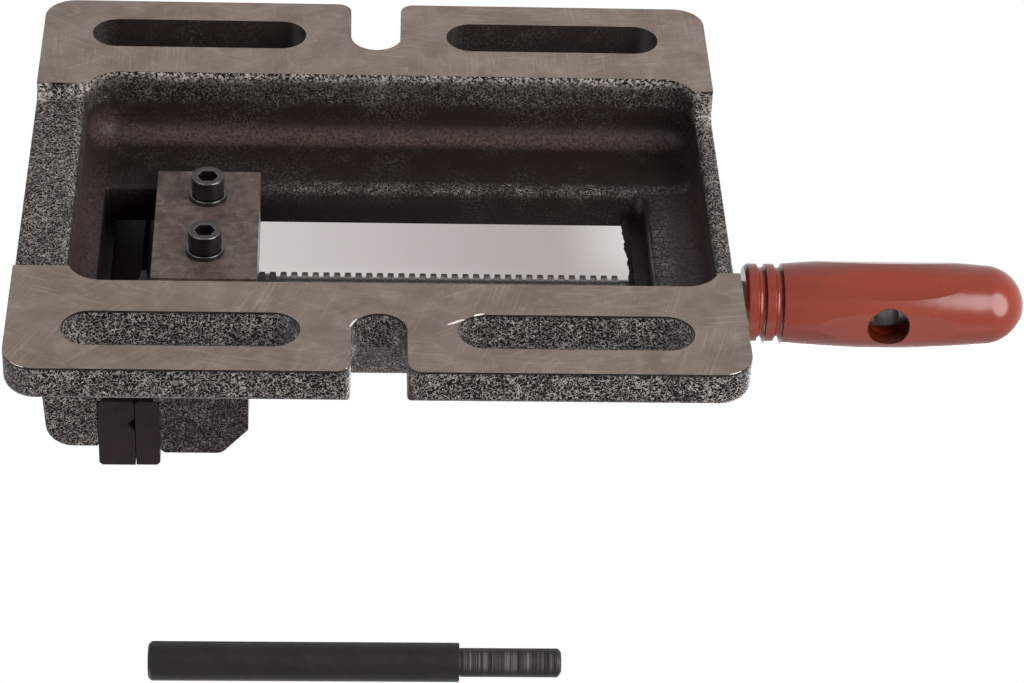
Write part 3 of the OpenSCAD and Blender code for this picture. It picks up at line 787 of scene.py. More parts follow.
@dataclass(frozen=True)
class TurnedSteel:
    """Steel from a lathe, with rings round an axis along X that a painted highlight band may bring out.
    """

    name: str
    colour: Colour
    bright: Colour
    ring: float
    roughness: float
    metallic: float = 0.6
    gloss: float = 0.5
    highlight_band: Optional[HighlightBand] = None
    highlight_band_ramp: Ramp = Ramp(2.2 * MM, 3.4 * MM, 0.12, 1.0)
    waves_across: float = 12.0
    rings: Lumps = Lumps(1.0, 3.0, 0.7)
    ring_ramp: Ramp = Ramp(0.4, 0.68)
    ring_relief: Relief = Relief(0.02 * MM, 0.35)
    stain: Patches = Patches(Lumps(5 * MM, 4.0), Ramp(0.45, 0.75))
    stain_share: float = 0.3
    stain_shade: float = 0.6

    def make(self) -> bpy.types.Material:
        """Builds the finish.

        Returns:
            The material.
        """
        look = Graph(self.name)
        waves = (1 / self.ring, self.waves_across, self.waves_across)
        rings = look.noise(self.rings, look.stretched(waves))
        share = look.remap(rings, self.ring_ramp)
        if self.highlight_band is not None:
            share = look.times(share, look.remap(look.towards_highlight_band(self.highlight_band), self.highlight_band_ramp))
        base = look.mix(share, self.colour, self.bright)
        dull = scaled(self.colour, self.stain_shade)
        base = look.tint(base, look.patches(self.stain), self.stain_share, dull)
        return look.finish(Base_Color=base, Metallic=self.metallic, Roughness=self.roughness,
                           Normal=look.bump(rings, self.ring_relief), Specular_IOR_Level=self.gloss)


@dataclass(frozen=True)
class MouldedRed:
    """Brick red moulded plastic with a smooth skin, rough patches and painted shade in its cross hole."""

    name: str
    colour: Colour
    deep: Colour
    roughness: float
    shaded_bore: Spot
    rough_spots: tuple[Spot, ...]
    flow: Lumps = Lumps(1.0, 3.0, 0.55)
    flow_waves: Triple = (28.0, 130.0, 130.0)
    flow_ramp: Ramp = Ramp(0.35, 0.7)
    pimple_spacing: float = 0.75 * MM
    pimple: Ramp = Ramp(0.12, 0.3, 1.0, 0.0)
    pimple_share: float = 0.35
    pimple_shade: float = 2.2
    pimple_relief: Relief = Relief(0.06 * MM, 0.6)
    bore_share: float = 0.7
    bore_shade: float = 0.1
    skin: Lumps = Lumps(5 * MM)
    skin_relief: Relief = Relief(0.03 * MM, 0.2)
    gloss: float = 0.46

    def make(self) -> bpy.types.Material:
        """Builds the finish.

        Returns:
            The material.
        """
        look = Graph(self.name)
        flow = look.noise(self.flow, look.stretched(self.flow_waves))
        base = look.mix(look.remap(flow, self.flow_ramp), self.colour, self.deep)
        rough = look.any_of(look.spot(mark) for mark in self.rough_spots)
        pimples = look.times(look.specks(self.pimple_spacing, self.pimple), rough)
        base = look.tint(base, pimples, self.pimple_share, scaled(self.colour, self.pimple_shade))
        # Painted shade: the grip darkens inside its cross hole.
        shaded_bore = look.within(self.shaded_bore)
        base = look.tint(base, shaded_bore, self.bore_share, scaled(self.deep, self.bore_shade))
        skin = look.bump(look.noise(self.skin), self.skin_relief)
        return look.finish(Base_Color=base, Roughness=self.roughness, Specular_IOR_Level=self.gloss,
                           Normal=look.bump(pimples, self.pimple_relief, skin))


@dataclass(frozen=True)
class RackIron:
    """Painted iron teeth in bands across their height: dark tips, bright half way to their roots and dark
    at the ends of the gaps.

    The ramps mid_band and root_band are in tooth heights from the tips, and the ramp strip is from the
    roots.
    """

    name: str
    dark: Colour
    bright: Colour
    tip_y: float
    root_y: float
    travel: Ramp
    roughness: float = 0.5
    gloss: float = 0.2
    crust: Lumps = Lumps(0.8 * MM, 4.0, 0.6)
    crust_height: float = 0.8 * MM
    crust_share: Ramp = Ramp(0.3, 0.65, 0.35, 1.0)
    crust_relief: Relief = Relief(0.1 * MM, 0.5)
    mid_band: Ramp = Ramp(0.2, 0.6, 0.12, 0.9)
    root_band: Ramp = Ramp(0.7, 1.0, 1.0, 0.0)
    strip: Ramp = Ramp(0.2 * MM, 1.2 * MM, 0.0, 0.5)

    def make(self) -> bpy.types.Material:
        """Builds the finish.

        Returns:
            The material.
        """
        look = Graph(self.name)
        crust = look.noise(self.crust)
        swell = look.times(look.calc("SUBTRACT", crust, NOISE_MIDDLE), self.crust_height)
        depth = look.calc("ADD", look.y, swell)
        tall = self.root_y - self.tip_y
        mid_band = look.remap(depth, self.mid_band.placed(self.tip_y, tall))
        root_band = look.remap(depth, self.root_band.placed(self.tip_y, tall))
        strip = look.remap(depth, self.strip.placed(self.root_y))
        share = look.calc("MAXIMUM", look.times(mid_band, root_band), strip)
        # The teeth turn darker past the travel ramp, towards the fixed jaw.
        share = look.times(share, look.remap(look.x, self.travel))
        share = look.times(share, look.remap(crust, self.crust_share))
        base = look.mix(share, self.dark, self.bright)
        return look.finish(Base_Color=base, Roughness=self.roughness, Specular_IOR_Level=self.gloss,
                           Normal=look.bump(crust, self.crust_relief))


UNDERSIDE = Box.in_mm((-86, -52.6, -1), (95.2, 52.6, 22.6))
DECK_SLOT = Box.in_mm((-80, -26, 21), (80.6, 24.6, 34.4))
# The dark boxes: the far bolt slots' walls are made fully dark, and under the fixed jaw's plate the dark
# is painted shade.
FAR_SLOT_JAW_END = Box.in_mm((-88, -82, 0.3), (-18, -65, 10.8))
FAR_SLOT_HANDLE_END = Box.in_mm((18, -82, 0.3), (88, -65, 10.8))
UNDER_PLATE_SHADE = Box.in_mm((-83, -27, 33), (-55, 27, 45))
SLOT_RIM = Box.in_mm((-88, -29, 18.5), (190, -22.5, 25))
END_BAND = Box.in_mm((75, -30, 18.5), (88, 60, 25.5))
# Painted shade on the side of the deck's slot.
SLOT_SIDE_SHADE = Box.in_mm((-130, -27.5, 23.5), (60, -20.5, 42))
# Edges with silver chips of paint worn off, which also stand as painted highlights where the edges catch
# the light.
RUBBED_AND_LIT_EDGES = (
    Box.in_mm((-190, -58, -3), (190, -47, 5.5)),
    Box.in_mm((-104, -50, -2), (-95, -39, 7)),
    Box.in_mm((-93, -55, -3), (-80, -41, 7)),
    Box.in_mm((96, -51, -6), (106, -37, 14)),
    Box.in_mm((86, -56, -3), (98, -43, 6)),
)
# Painted sheen on the walls that face the light: the end walls, the far fillet and the far left corner.
PAINTED_SHEEN_BOXES = (
    Box.in_mm((-98, -52, 3), (-74, 62, 27)),
    Box.in_mm((80, -40, 8), (100, 66, 30)),
    Box.in_mm((-170, -54.5, 17), (170, -44.5, 27)),
    Box.in_mm((-94, -58, 10), (-72, -40, 28)),
)
PAD_CHIPS = (
    Spot.in_mm((20.7, 69.4, 0), (2.9, 0.5, 1), -29),
    Spot.in_mm((27, 66, 0), (1.7, 0.5, 1), -20),
    Spot.in_mm((-6.9, 70.1, 0), (2.3, 0.45, 1), -60),
    Spot.in_mm((-8.2, 90.8, 0), (0.9, 0.8, 1), 45),
)
# Painted glints: bright highlight lines on the pads' rounded corners, drawn as bare metal.
RIM_GLINTS = (
    Spot.in_mm((-95.5, 90.3, 0.2), (3.4, 0.8, 1), 30),
    Spot.in_mm((94.8, 90.66, 0.2), (2.4, 0.8, 1), -25),
)

BASE_PAINT = HammertonePaint(
    "base_paint", vein=0.86 * MM, cover=0.05, ground=srgb(20, 15, 14), silver=srgb(182, 172, 165),
    pooled=srgb(34, 26, 23), pools=(UNDERSIDE, DECK_SLOT),
    dark=(FAR_SLOT_JAW_END, FAR_SLOT_HANDLE_END, UNDER_PLATE_SHADE), thin=(SLOT_RIM, END_BAND),
    rubbed_and_lit=RUBBED_AND_LIT_EDGES, painted_sheen=PAINTED_SHEEN_BOXES, shaded_sides=(SLOT_SIDE_SHADE,),
    pad_edge_shadow=Ramp(0.44 * MM, 1.1 * MM, 0.08, 1.0),
)
JAW_PAINT = HammertonePaint(
    "jaw_paint", vein=0.8 * MM, cover=0.042, ground=srgb(24, 20, 20), silver=srgb(134, 127, 125),
    pooled=srgb(30, 25, 24),
)
PAD_FINISH = GroundSteel(
    "ground_pads", srgb(141, 126, 117), srgb(96, 83, 75), srgb(166, 152, 143),
    wheels=((0.22, 0.42, 0.0), (-0.35, -0.05, 0.0), (0.05, -0.3, 0.0)),
    stain_size=13 * MM, stain_share=0.5, mark_share=0.5, roughness=0.46, chips=PAD_CHIPS, near_side_shade=0.3,
)
# Painted shadow: the pads' rounded rim is finished dark for the dark line along the pads' edge.
SHADED_PAD_RIM = GroundSteel(
    "pad_rim_painted_shade", srgb(44, 36, 33), srgb(34, 27, 25), srgb(60, 51, 47), wheels=((0.22, 0.42, 0.0),),
    stain_size=12 * MM, stain_share=0.4, mark_share=0.3, roughness=0.5,
    chips=PAD_CHIPS + RIM_GLINTS, metallic=0.0,
)
KEEPER_FINISH = GroundSteel(
    "keeper_steel", srgb(108, 93, 87), srgb(60, 50, 46), srgb(140, 125, 118),
    wheels=((-0.048, 1.5, 0.0),), stain_size=5 * MM, stain_share=0.7, mark_share=0.25, roughness=0.46,
)
PLATE_FINISH = BlackOxide("plate_black", srgb(35, 28, 27), srgb(43, 33, 31), roughness=0.5, gloss=0.1)
SCREW_FINISH = BlackOxide("screw_black", srgb(16, 13, 12), srgb(24, 20, 18), roughness=0.24, gloss=0.45)
WASHER_FINISH = BlackOxide("washer_black", srgb(18, 15, 14), srgb(26, 22, 20), roughness=0.2, gloss=0.8)
FLASH_FINISH = BlackOxide("flash_black", srgb(50, 42, 39), srgb(68, 58, 54), roughness=0.8, gloss=0.0)
WORN_EDGE = BlackOxide(
    "worn_black", srgb(86, 82, 79), srgb(92, 87, 84), roughness=0.2, gloss=0.1, metallic=1.0,
)
BAR_FINISH = BlackOxide("bar_black", srgb(22, 19, 19), srgb(30, 25, 25), roughness=0.38, gloss=0.2)
# The bar's tip has a painted highlight band along it, where its bright rings show.
BAR_TIP_FINISH = TurnedSteel(
    "bar_tip", srgb(24, 21, 22), srgb(98, 93, 94), ring=0.6 * MM, roughness=0.36, metallic=0.05,
    gloss=0.2, highlight_band=HighlightBand((199.2 * MM, 4.75 * MM), (0.68, -0.73)),
)
ROD_FINISH = TurnedSteel(
    "rod_steel", srgb(98, 92, 89), srgb(132, 125, 121), ring=0.3 * MM, roughness=0.3,
)
BUSH_FINISH = TurnedSteel(
    "bush_bronze", srgb(150, 104, 58), srgb(186, 140, 86), ring=0.4 * MM, roughness=0.34,
)
RACK_FINISH = RackIron(
    "rack_iron", srgb(28, 23, 21), srgb(138, 128, 123), tip_y=17.3 * MM, root_y=21 * MM,
    travel=Ramp(-29 * MM, -23 * MM, 0.08, 1.0),
)
GRIP_FINISH = MouldedRed(
    "grip_red", srgb(128, 42, 20), srgb(119, 35, 16), roughness=0.19,
    shaded_bore=Spot.in_mm((150.1, 0, 43.6), (6.35, 1000, 6.35)),
    rough_spots=(
        Spot.in_mm((165.4, 5.1, 32.3), (4.6, 4, 2.6)),
        Spot.in_mm((163.4, 11, 37.4), (3.4, 2.5, 1.8)),
    ),
)


Finish = Union[HammertonePaint, GroundSteel, BlackOxide, TurnedSteel, MouldedRed, RackIron]
EdgeTest = Callable[[bmesh.types.BMEdge], bool]
FaceTest = Callable[[bmesh.types.BMFace], bool]

SHARP = math.radians(28)
SMOOTH = math.radians(38)
GRIP_CREASE = math.radians(15)
FLAT = math.radians(0.05)
WELD = 0.004 * MM
CUT_NEAR = 0.1 * WELD
LARGE_FACE_WEIGHT = 100
JAW_EDGE_LENGTH = 60 * MM
JAW_EDGE_HEIGHT = 50 * MM


class Paints:
    """Materials that have been made, so that each finish is built once."""

    made: dict[str, bpy.types.Material] = {}

    @classmethod
    def of(cls, finish: Finish) -> bpy.types.Material:
        """Gives a finish's material, and builds it the first time.

        Args:
            finish: the finish.

        Returns:
            The material.
        """
        if finish.name not in cls.made:
            cls.made[finish.name] = finish.make()
        return cls.made[finish.name]


@dataclass(frozen=True)
class EdgeBreak:
    """How sharp edges are broken: width, steps, which ones, whether tight ones narrow, and finish."""

    width: float
    segments: int = 2
    wanted: Optional[EdgeTest] = None
    clamp: bool = True
    finish_number: int = 0


def sharp_edges(mesh: bmesh.types.BMesh, wanted: Optional[EdgeTest]) -> list[bmesh.types.BMEdge]:
    """Lists the convex sharp edges of a mesh that pass a test.

    Args:
        mesh: the mesh.
        wanted: the test, or None for all of them.

    Returns:
        The edges.
    """
    return [
        edge for edge in mesh.edges
        if len(edge.link_faces) == 2 and edge.is_convex and edge.calc_face_angle() > SHARP
        and (wanted is None or wanted(edge))
    ]


def joined_copy(node: str) -> bmesh.types.BMesh:
    """Copies a solid's mesh with its loose triangles joined.

    Args:
        node: name of the solid's node.

    Returns:
        The copy.
    """
    mesh = bmesh.new()
    mesh.from_mesh(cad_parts[node].data)
    bmesh.ops.remove_doubles(mesh, verts=mesh.verts, dist=WELD)
    return mesh


def make_flats_whole(mesh: bmesh.types.BMesh) -> None:
    """Joins the triangles of each flat face of a mesh."""
    bmesh.ops.dissolve_limit(mesh, angle_limit=FLAT, verts=mesh.verts, edges=mesh.edges)


def solid_copy(node: str) -> bmesh.types.BMesh:
    """Copies a solid's mesh with its loose triangles joined and its flat faces made whole.

    Args:
        node: name of the solid's node.

    Returns:
        The copy.
    """
    mesh = joined_copy(node)
    make_flats_whole(mesh)
    return mesh


def break_edges(mesh: bmesh.types.BMesh, how: EdgeBreak) -> None:
    """Bevels sharp edges of a mesh and numbers the new faces' finish.

    Args:
        mesh: the mesh.
        how: which edges, and how.
    """
    made = bmesh.ops.bevel(
        mesh, geom=sharp_edges(mesh, how.wanted), offset=how.width, offset_type="OFFSET", affect="EDGES",
        segments=how.segments, profile=0.5, clamp_overlap=how.clamp, material=-1,
    )
    for face in made["faces"]:
        face.material_index = how.finish_number


def place_piece(mesh: bmesh.types.BMesh, name: str, finishes: Sequence[Finish],
                crease: float = SMOOTH, crisp: Optional[FaceTest] = None) -> bpy.types.Object:
    """Turns a mesh into a shown object at the origin.

    Args:
        mesh: the mesh, which is freed.
        name: name of the object.
        finishes: one finish for each material number of the faces.
        crease: angle from which an edge is shaded sharp.
        crisp: test for faces that keep a crisp border to the others.

    Returns:
        The object.
    """
    for face in mesh.faces:
        face.smooth = True
    apart = set() if crisp is None else {face for face in mesh.faces if crisp(face)}
    for edge in mesh.edges:
        border = sum(face in apart for face in edge.link_faces) == 1
        edge.smooth = len(edge.link_faces) == 2 and edge.calc_face_angle() < crease and not border
    data = bpy.data.meshes.new(name)
    mesh.to_mesh(data)
    mesh.free()
    for finish in finishes:
        data.materials.append(Paints.of(finish))
    piece = bpy.data.objects.new(name, data)
    bpy.context.scene.collection.objects.link(piece)
    even = piece.modifiers.new("even_shading", "WEIGHTED_NORMAL")
    even.weight = LARGE_FACE_WEIGHT
    even.keep_sharp = True
    return piece


def add_piece(piece: bpy.types.Object, body: str, slot: Slot, *nodes: str) -> bpy.types.Object:
    """Lets a piece ride on a body and hides the solids that it stands for.

    Args:
        piece: the object.
        body: the body that carries it.
        slot: its material slot; not used.
        nodes: the solids that it replaces.

    Returns:
        The object.
    """
    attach(piece, body)
    if nodes:
        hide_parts(*nodes)
    log.info("%s rides on %s with %d faces", piece.name, body, len(piece.data.polygons))
    return piece


@dataclass
class SolidPiece:
    """A piece that has a solid's own shape, with its edges broken and a finish for each face number."""

    node: str
    body: str
    slot: Slot
    finishes: tuple[Finish, ...]
    breaks: tuple[EdgeBreak, ...] = (EdgeBreak(0.25 * MM),)
    crease: float = SMOOTH
    crisp: Optional[FaceTest] = None

    def build(self) -> bmesh.types.BMesh:
        """Breaks the solid's edges.

        Returns:
            The piece's mesh.
        """
        mesh = solid_copy(self.node)
        for how in self.breaks:
            break_edges(mesh, how)
        return mesh

    def dress(self) -> bpy.types.Object:
        """Builds the piece, finishes it and puts it on its body."""
        piece = place_piece(self.build(), f"{self.node}_finished", self.finishes, self.crease, self.crisp)
        return add_piece(piece, self.body, self.slot, self.node)


@dataclass
class BaseCasting:
    """The painted base with its two ground pads.

    The cuts are lines in the flanges, as shares of the plan radius or as angles round the upper edge.
    """

    node: str = "base_casting"
    body: str = "base"
    cast_edge: float = 0.6 * MM
    pad_edge: float = 0.5 * MM
    slot_rim: float = 1.6 * MM
    deck_level: float = 22 * MM
    slot_half: float = 24.1 * MM
    clear_of_rack_y: float = -20 * MM
    slot_end: float = 77 * MM
    rails: tuple[float, float] = (30 * MM, 54 * MM)
    jaw_level: float = 36 * MM
    half_length: float = 100 * MM
    half_width: float = 91.5 * MM
    flange_top: float = 11.2 * MM
    plan_radius: float = 9 * MM
    plan_cuts: tuple[float, ...] = (1.0, 0.9, 0.79)
    top_radius: float = 3 * MM
    top_cuts: tuple[float, ...] = (0.5, 0.64)
    top_angles_deg: tuple[float, ...] = (0.0, 11.25, 22.5, 33.75)
    root: tuple[float, float] = (63.5 * MM, 67.5 * MM)
    pad_reach: float = 0.6 * MM
    pad_tilt: float = -0.8
    pad_number: int = 1
    rim_tilt: float = -0.15
    rim_number: int = 2
    near: float = 0.05 * MM

    def level(self, edge: bmesh.types.BMEdge, height: float) -> bool:
        """Tells whether an edge lies at a height."""
        return all(abs(vertex.co.z - height) < self.near for vertex in edge.verts)

    def on_slot_rim(self, place: Vector) -> bool:
        """Tells whether a place on the deck lies round its slot, away from the rack."""
        away = place.y < self.clear_of_rack_y or abs(place.x) > self.slot_end
        return away and abs(place.y) < self.slot_half

    def round_slot(self, edge: bmesh.types.BMEdge) -> bool:
        """Tells whether an edge is the rim of the deck's slot, away from the rack."""
        return self.level(edge, self.deck_level) and all(
            self.on_slot_rim(vertex.co) for vertex in edge.verts)

    def on_rail_or_jaw(self, place: Vector) -> bool:
        """Tells whether a place lies on one of the rails or on the fixed jaw."""
        return self.rails[0] < abs(place.y) < self.rails[1] or place.z > self.jaw_level

    def round_cast(self, edge: bmesh.types.BMEdge) -> bool:
        """Tells whether an edge is one of the rails' or the jaw's, which the casting left."""
        return not self.level(edge, 0.0) and all(
            self.on_rail_or_jaw(vertex.co) for vertex in edge.verts)

    def cut_flanges(self, mesh: bmesh.types.BMesh) -> None:
        """Cuts lines into the flanges, so that their corners and upper edges can be rounded smoothly.

        Args:
            mesh: the base's mesh.
        """
        tangents = [math.tan(math.radians(angle)) for angle in self.top_angles_deg]
        rounds = [self.top_radius * (1 - tangent) for tangent in tangents]
        for share in self.plan_cuts:
            self.cut_round(mesh, self.plan_radius * share, -self.near)
        for depth in rounds:
            self.cut(mesh, (0, 0, self.flange_top - depth), (0, 0, 1), -self.near)
        for depth in [*rounds, *scaled(self.top_cuts, self.plan_radius)]:
            self.cut_round(mesh, depth, self.flange_top - self.top_radius - self.near)

    def cut_round(self, mesh: bmesh.types.BMesh, depth: float, lowest: float) -> None:
        """Cuts lines along the four sides into the flanges' faces.

        Args:
            mesh: the base's mesh.
            depth: distance of the lines from the sides.
            lowest: height above which faces are cut.
        """
        for side in (-1, 1):
            self.cut(mesh, (side * (self.half_length - depth), 0, 0), (1, 0, 0), lowest)
            self.cut(mesh, (0, side * (self.half_width - depth), 0), (0, 1, 0), lowest)

    def cut(self, mesh: bmesh.types.BMesh, place: Place, normal: Triple, lowest: float) -> None:
        """Draws the line along which a plane meets the flanges' faces.

        Args:
            mesh: the base's mesh.
            place: a point of the plane.
            normal: the plane's normal.
            lowest: height above which faces are cut.
        """
        faces = [
            face for face in mesh.faces
            if any(abs(vertex.co.y) > self.root[0] for vertex in face.verts)
            and all(vertex.co.z > lowest for vertex in face.verts)
        ]
        edges = {edge for face in faces for edge in face.edges}
        corners = {vertex for face in faces for vertex in face.verts}
        bmesh.ops.bisect_plane(mesh, geom=[*corners, *edges, *faces], dist=CUT_NEAR,
                               plane_co=place, plane_no=normal)

    def soften(self, vertex: bmesh.types.BMVert) -> None:
        """Moves a point of a flange onto the rounded corner and the rounded upper edge.

        Args:
            vertex: the point.
        """
        place = vertex.co
        side = Vector((math.copysign(1, place.x), math.copysign(1, place.y)))
        off = Vector((abs(place.x) - self.half_length + self.plan_radius,
                      abs(place.y) - self.half_width + self.plan_radius))
        if min(off) > 0:
            way, inward = off.normalized(), max(self.plan_radius - off.length, 0.0)
        else:
            way = Vector((1, 0)) if off.x > off.y else Vector((0, 1))
            inward = self.plan_radius - max(off)
        outline = off + way * inward if min(off) <= 0 else way * self.plan_radius
        share = min(max((abs(place.y) - self.root[0]) / (self.root[1] - self.root[0]), 0.0), 1.0)
        deep = self.flange_top - place.z
        level = Vector((self.top_radius - inward, self.top_radius - deep))
        if min(level) > 0 and level.length > self.top_radius:
            rounded = level.normalized() * self.top_radius
            inward += share * (level.x - rounded.x)
            deep += share * (level.y - rounded.y)
        off = outline - way * inward
        vertex.co = Vector((
            side.x * (off.x + self.half_length - self.plan_radius),
            side.y * (off.y + self.half_width - self.plan_radius), self.flange_top - deep))

    def build(self) -> bmesh.types.BMesh:
        """Rounds the cast edges, breaks the pads' edges and numbers the faces' finishes.

        Returns:
            The base's mesh.
        """
        mesh = joined_copy(self.node)
        self.cut_flanges(mesh)
        bmesh.ops.triangulate(mesh, faces=mesh.faces)
        for vertex in mesh.verts:
            if abs(vertex.co.y) > self.root[0] and vertex.co.z < self.flange_top + self.near:
                self.soften(vertex)
        make_flats_whole(mesh)
        break_edges(mesh, EdgeBreak(self.slot_rim, 4, self.round_slot, clamp=False))
        break_edges(mesh, EdgeBreak(self.cast_edge, 3, self.round_cast, clamp=False))
        break_edges(mesh, EdgeBreak(self.pad_edge, 3, lambda edge: self.level(edge, 0.0)))
        for face in mesh.faces:
            if face.calc_center_median().z < self.pad_reach and face.normal.z < self.rim_tilt:
                pad = face.normal.z < self.pad_tilt
                face.material_index = self.pad_number if pad else self.rim_number
        return mesh

    def dress(self) -> bpy.types.Object:
        """Builds the base, paints it and puts it on its body."""
        piece = place_piece(self.build(), "base_casting_finished", [BASE_PAINT, PAD_FINISH, SHADED_PAD_RIM])
        return add_piece(piece, self.body, Slot.HAMMERTONE, self.node)


@dataclass
class SlotFlash:
    """Ragged flash that the foundry left on the lip at the handle end of the deck's slot.

    The fields rag_place and rag_fractal choose a noise, and its fall, its gap and its layers.
    """

    body: str = "base"
    root_x: float = 75.6 * MM
    lip_x: float = 75.0 * MM
    side_y: float = 23.9 * MM
    rack_y: float = 17.0 * MM
    top_z: float = 33.6 * MM
    thickness: float = 2.2 * MM
    least: float = 0.5 * MM
    most: float = 2.05 * MM
    steps: int = 44
    edge: float = 0.3 * MM
    undercut: float = 0.35
    undercut_shift: float = 2 * MM
    rag_size: float = 6 * MM
    rag_place: tuple[float, float] = (4.7, 0.3)
    rag_fractal: tuple[float, float, int] = (0.6, 2.1, 4)
    rag_middle: float = 0.62
    rag_swing: float = 0.55

    def reach(self, y: float) -> float:
        """Gives how far the flash reaches into the slot.

        Args:
            y: place across the slot.

        Returns:
            The reach, in metres.
        """
        rag = noise.fractal(Vector((y / self.rag_size, *self.rag_place)), *self.rag_fractal)
        share = min(max(self.rag_middle + self.rag_swing * rag, 0.0), 1.0)
        return self.least + share * (self.most - self.least)

    def build(self) -> bmesh.types.BMesh:
        """Draws the ragged strip, thickens it, cuts under it and rounds its edges.

        Returns:
            The flash's mesh.
        """
        mesh = bmesh.new()
        bmesh.ops.create_grid(mesh, x_segments=1, y_segments=self.steps, size=1.0)
        for vertex in mesh.verts:
            y = -self.side_y + (vertex.co.y + 1) / 2 * (self.rack_y + self.side_y)
            x = self.root_x if vertex.co.x > 0 else self.lip_x - self.reach(y)
            vertex.co = Vector((x, y, self.top_z))
        swept = bmesh.ops.extrude_face_region(mesh, geom=mesh.faces[:])["geom"]
        moved = [item for item in swept if isinstance(item, bmesh.types.BMVert)]
        bmesh.ops.translate(mesh, verts=moved, vec=(0, 0, -self.thickness))
        for vertex in moved:
            if vertex.co.x < self.lip_x:
                vertex.co.x += self.undercut * self.reach(vertex.co.y + self.undercut_shift)
        bmesh.ops.recalc_face_normals(mesh, faces=mesh.faces)
        break_edges(mesh, EdgeBreak(self.edge))
        return mesh

    def dress(self) -> bpy.types.Object:
        """Builds the flash, blackens it and puts it on the base."""
        piece = place_piece(self.build(), "slot_flash", [FLASH_FINISH])
        return add_piece(piece, self.body, Slot.HAMMERTONE)


@dataclass
class TommyBar:
    """The loose black bar, with a turned tip that fits the grip's cross hole."""

    node: str = "tommy_bar"
    body: str = "bar"
    edge: float = 0.25 * MM
    tip_radius: float = 3.9 * MM

    def build(self) -> bmesh.types.BMesh:
        """Breaks the bar's edges and numbers the faces of its tip and of the shoulder behind it.

        Returns:
            The bar's mesh.
        """
        mesh = solid_copy(self.node)
        break_edges(mesh, EdgeBreak(self.edge))
        centre = sum((vertex.co for vertex in mesh.verts), Vector()) / len(mesh.verts)
        for face in mesh.faces:
            apart = [vertex.co - centre for vertex in face.verts]
            off_axis = max(math.hypot(gap.y, gap.z) for gap in apart)
            face.material_index = int(off_axis < self.tip_radius)
        return mesh

    def dress(self) -> bpy.types.Object:
        """Builds the bar, blackens it and puts it on its body."""
        piece = place_piece(self.build(), "tommy_bar_finished", [BAR_FINISH, BAR_TIP_FINISH])
        return add_piece(piece, self.body, Slot.BAR_BLACK, self.node)


@dataclass(frozen=True)
class GripFlats:
    """The oval flats round the grip, each a shallow hollow along X."""

    middle_x: float = 152.1 * MM
    axis_z: float = 44.2 * MM
    least: float = 12.3 * MM
    hollow_radius: float = 960 * MM
    near: float = 0.02 * MM

    def holds(self, face: bmesh.types.BMFace) -> bool:
        """Tells whether a face of the grip lies on one of the flats.

        Args:
            face: the face.

        Returns:
            Whether it does.
        """
        place, normal = face.calc_center_median(), face.normal
        height = self.least + (place.x - self.middle_x) ** 2 / (2 * self.hollow_radius)
        return abs(place.y * normal.y + (place.z - self.axis_z) * normal.z - height) < self.near


def across_vise(edge: bmesh.types.BMEdge) -> bool:
    """Tells whether an edge is one of the sliding jaw's upper ones, from side to side."""
    run = edge.verts[0].co - edge.verts[1].co
    return abs(run.y) > JAW_EDGE_LENGTH and edge.verts[0].co.z > JAW_EDGE_HEIGHT


def solid_pieces() -> list[SolidPiece]:
    """Lists the pieces that keep their solids' shapes.

    Returns:
        The pieces, from the base's to the handle's.
    """
    fine = (EdgeBreak(0.15 * MM),)
    plate_edge = (EdgeBreak(0.3 * MM),)
    round_edge = (EdgeBreak(0.45 * MM, 3),)
    head = (EdgeBreak(0.45 * MM, 3, clamp=False, finish_number=1),)
    rim = (EdgeBreak(0.3 * MM, 3, clamp=False, finish_number=1),)
    cast_edges = (EdgeBreak(1.4 * MM, 4, across_vise), EdgeBreak(0.6 * MM, 3))
    worn_screw = (SCREW_FINISH, WORN_EDGE)
    return [
        SolidPiece("fixed_jaw_plate", "base", Slot.BLACK_OXIDE, (PLATE_FINISH,)),
        SolidPiece("fixed_jaw_screws", "base", Slot.BLACK_OXIDE, worn_screw, head),
        SolidPiece("rack", "base", Slot.CAST_TEETH, (RACK_FINISH,), fine),
        SolidPiece("rack_screws", "base", Slot.BLACK_OXIDE, (SCREW_FINISH,), fine),
        SolidPiece("sliding_jaw", "jaw", Slot.HAMMERTONE_FINE, (JAW_PAINT,), cast_edges),
        SolidPiece("moving_jaw_plate", "jaw", Slot.BLACK_OXIDE, (PLATE_FINISH,)),
        SolidPiece("moving_jaw_screws", "jaw", Slot.BLACK_OXIDE, worn_screw, head),
        SolidPiece("keeper_plate", "jaw", Slot.MILL_STEEL, (KEEPER_FINISH,), plate_edge),
        SolidPiece("keeper_screws", "jaw", Slot.BLACK_OXIDE, worn_screw, head),
        SolidPiece("keeper_washers", "jaw", Slot.BLACK_OXIDE, (WASHER_FINISH, WORN_EDGE), rim),
        SolidPiece("spindle_bush", "jaw", Slot.BRONZE, (BUSH_FINISH,), fine),
        SolidPiece("spindle", "handle", Slot.TURNED_STEEL, (ROD_FINISH,), fine),
        SolidPiece("thrust_washer", "handle", Slot.TURNED_STEEL, (ROD_FINISH,), fine),
        SolidPiece("retaining_ring", "handle", Slot.BLACK_OXIDE, (SCREW_FINISH,), fine),
        SolidPiece("swing_nut", "nut", Slot.TURNED_STEEL, (ROD_FINISH,), fine),
        SolidPiece("grip", "handle", Slot.RED_GRIP, (GRIP_FINISH,), round_edge,
                   GRIP_CREASE, GripFlats().holds),
    ]


@dataclass(frozen=True)
class Lamp:
    """One soft box of the studio: its place, width, height and power."""

    name: str
    place: Place
    width: float
    height: float
    power: float

    def hang(self) -> None:
        """Adds the lamp, turned to the vise."""
        data = bpy.data.lights.new(self.name, "AREA")
        data.shape = "ELLIPSE"
        data.size = self.width
        data.size_y = self.height
        data.energy = self.power
        lamp = bpy.data.objects.new(self.name, data)
        lamp.location = self.place
        lamp.rotation_mode = "QUATERNION"
        lamp.rotation_quaternion = (-Vector(self.place)).to_track_quat("-Z", "Y")
        lamp.visible_camera = False
        bpy.context.scene.collection.objects.link(lamp)


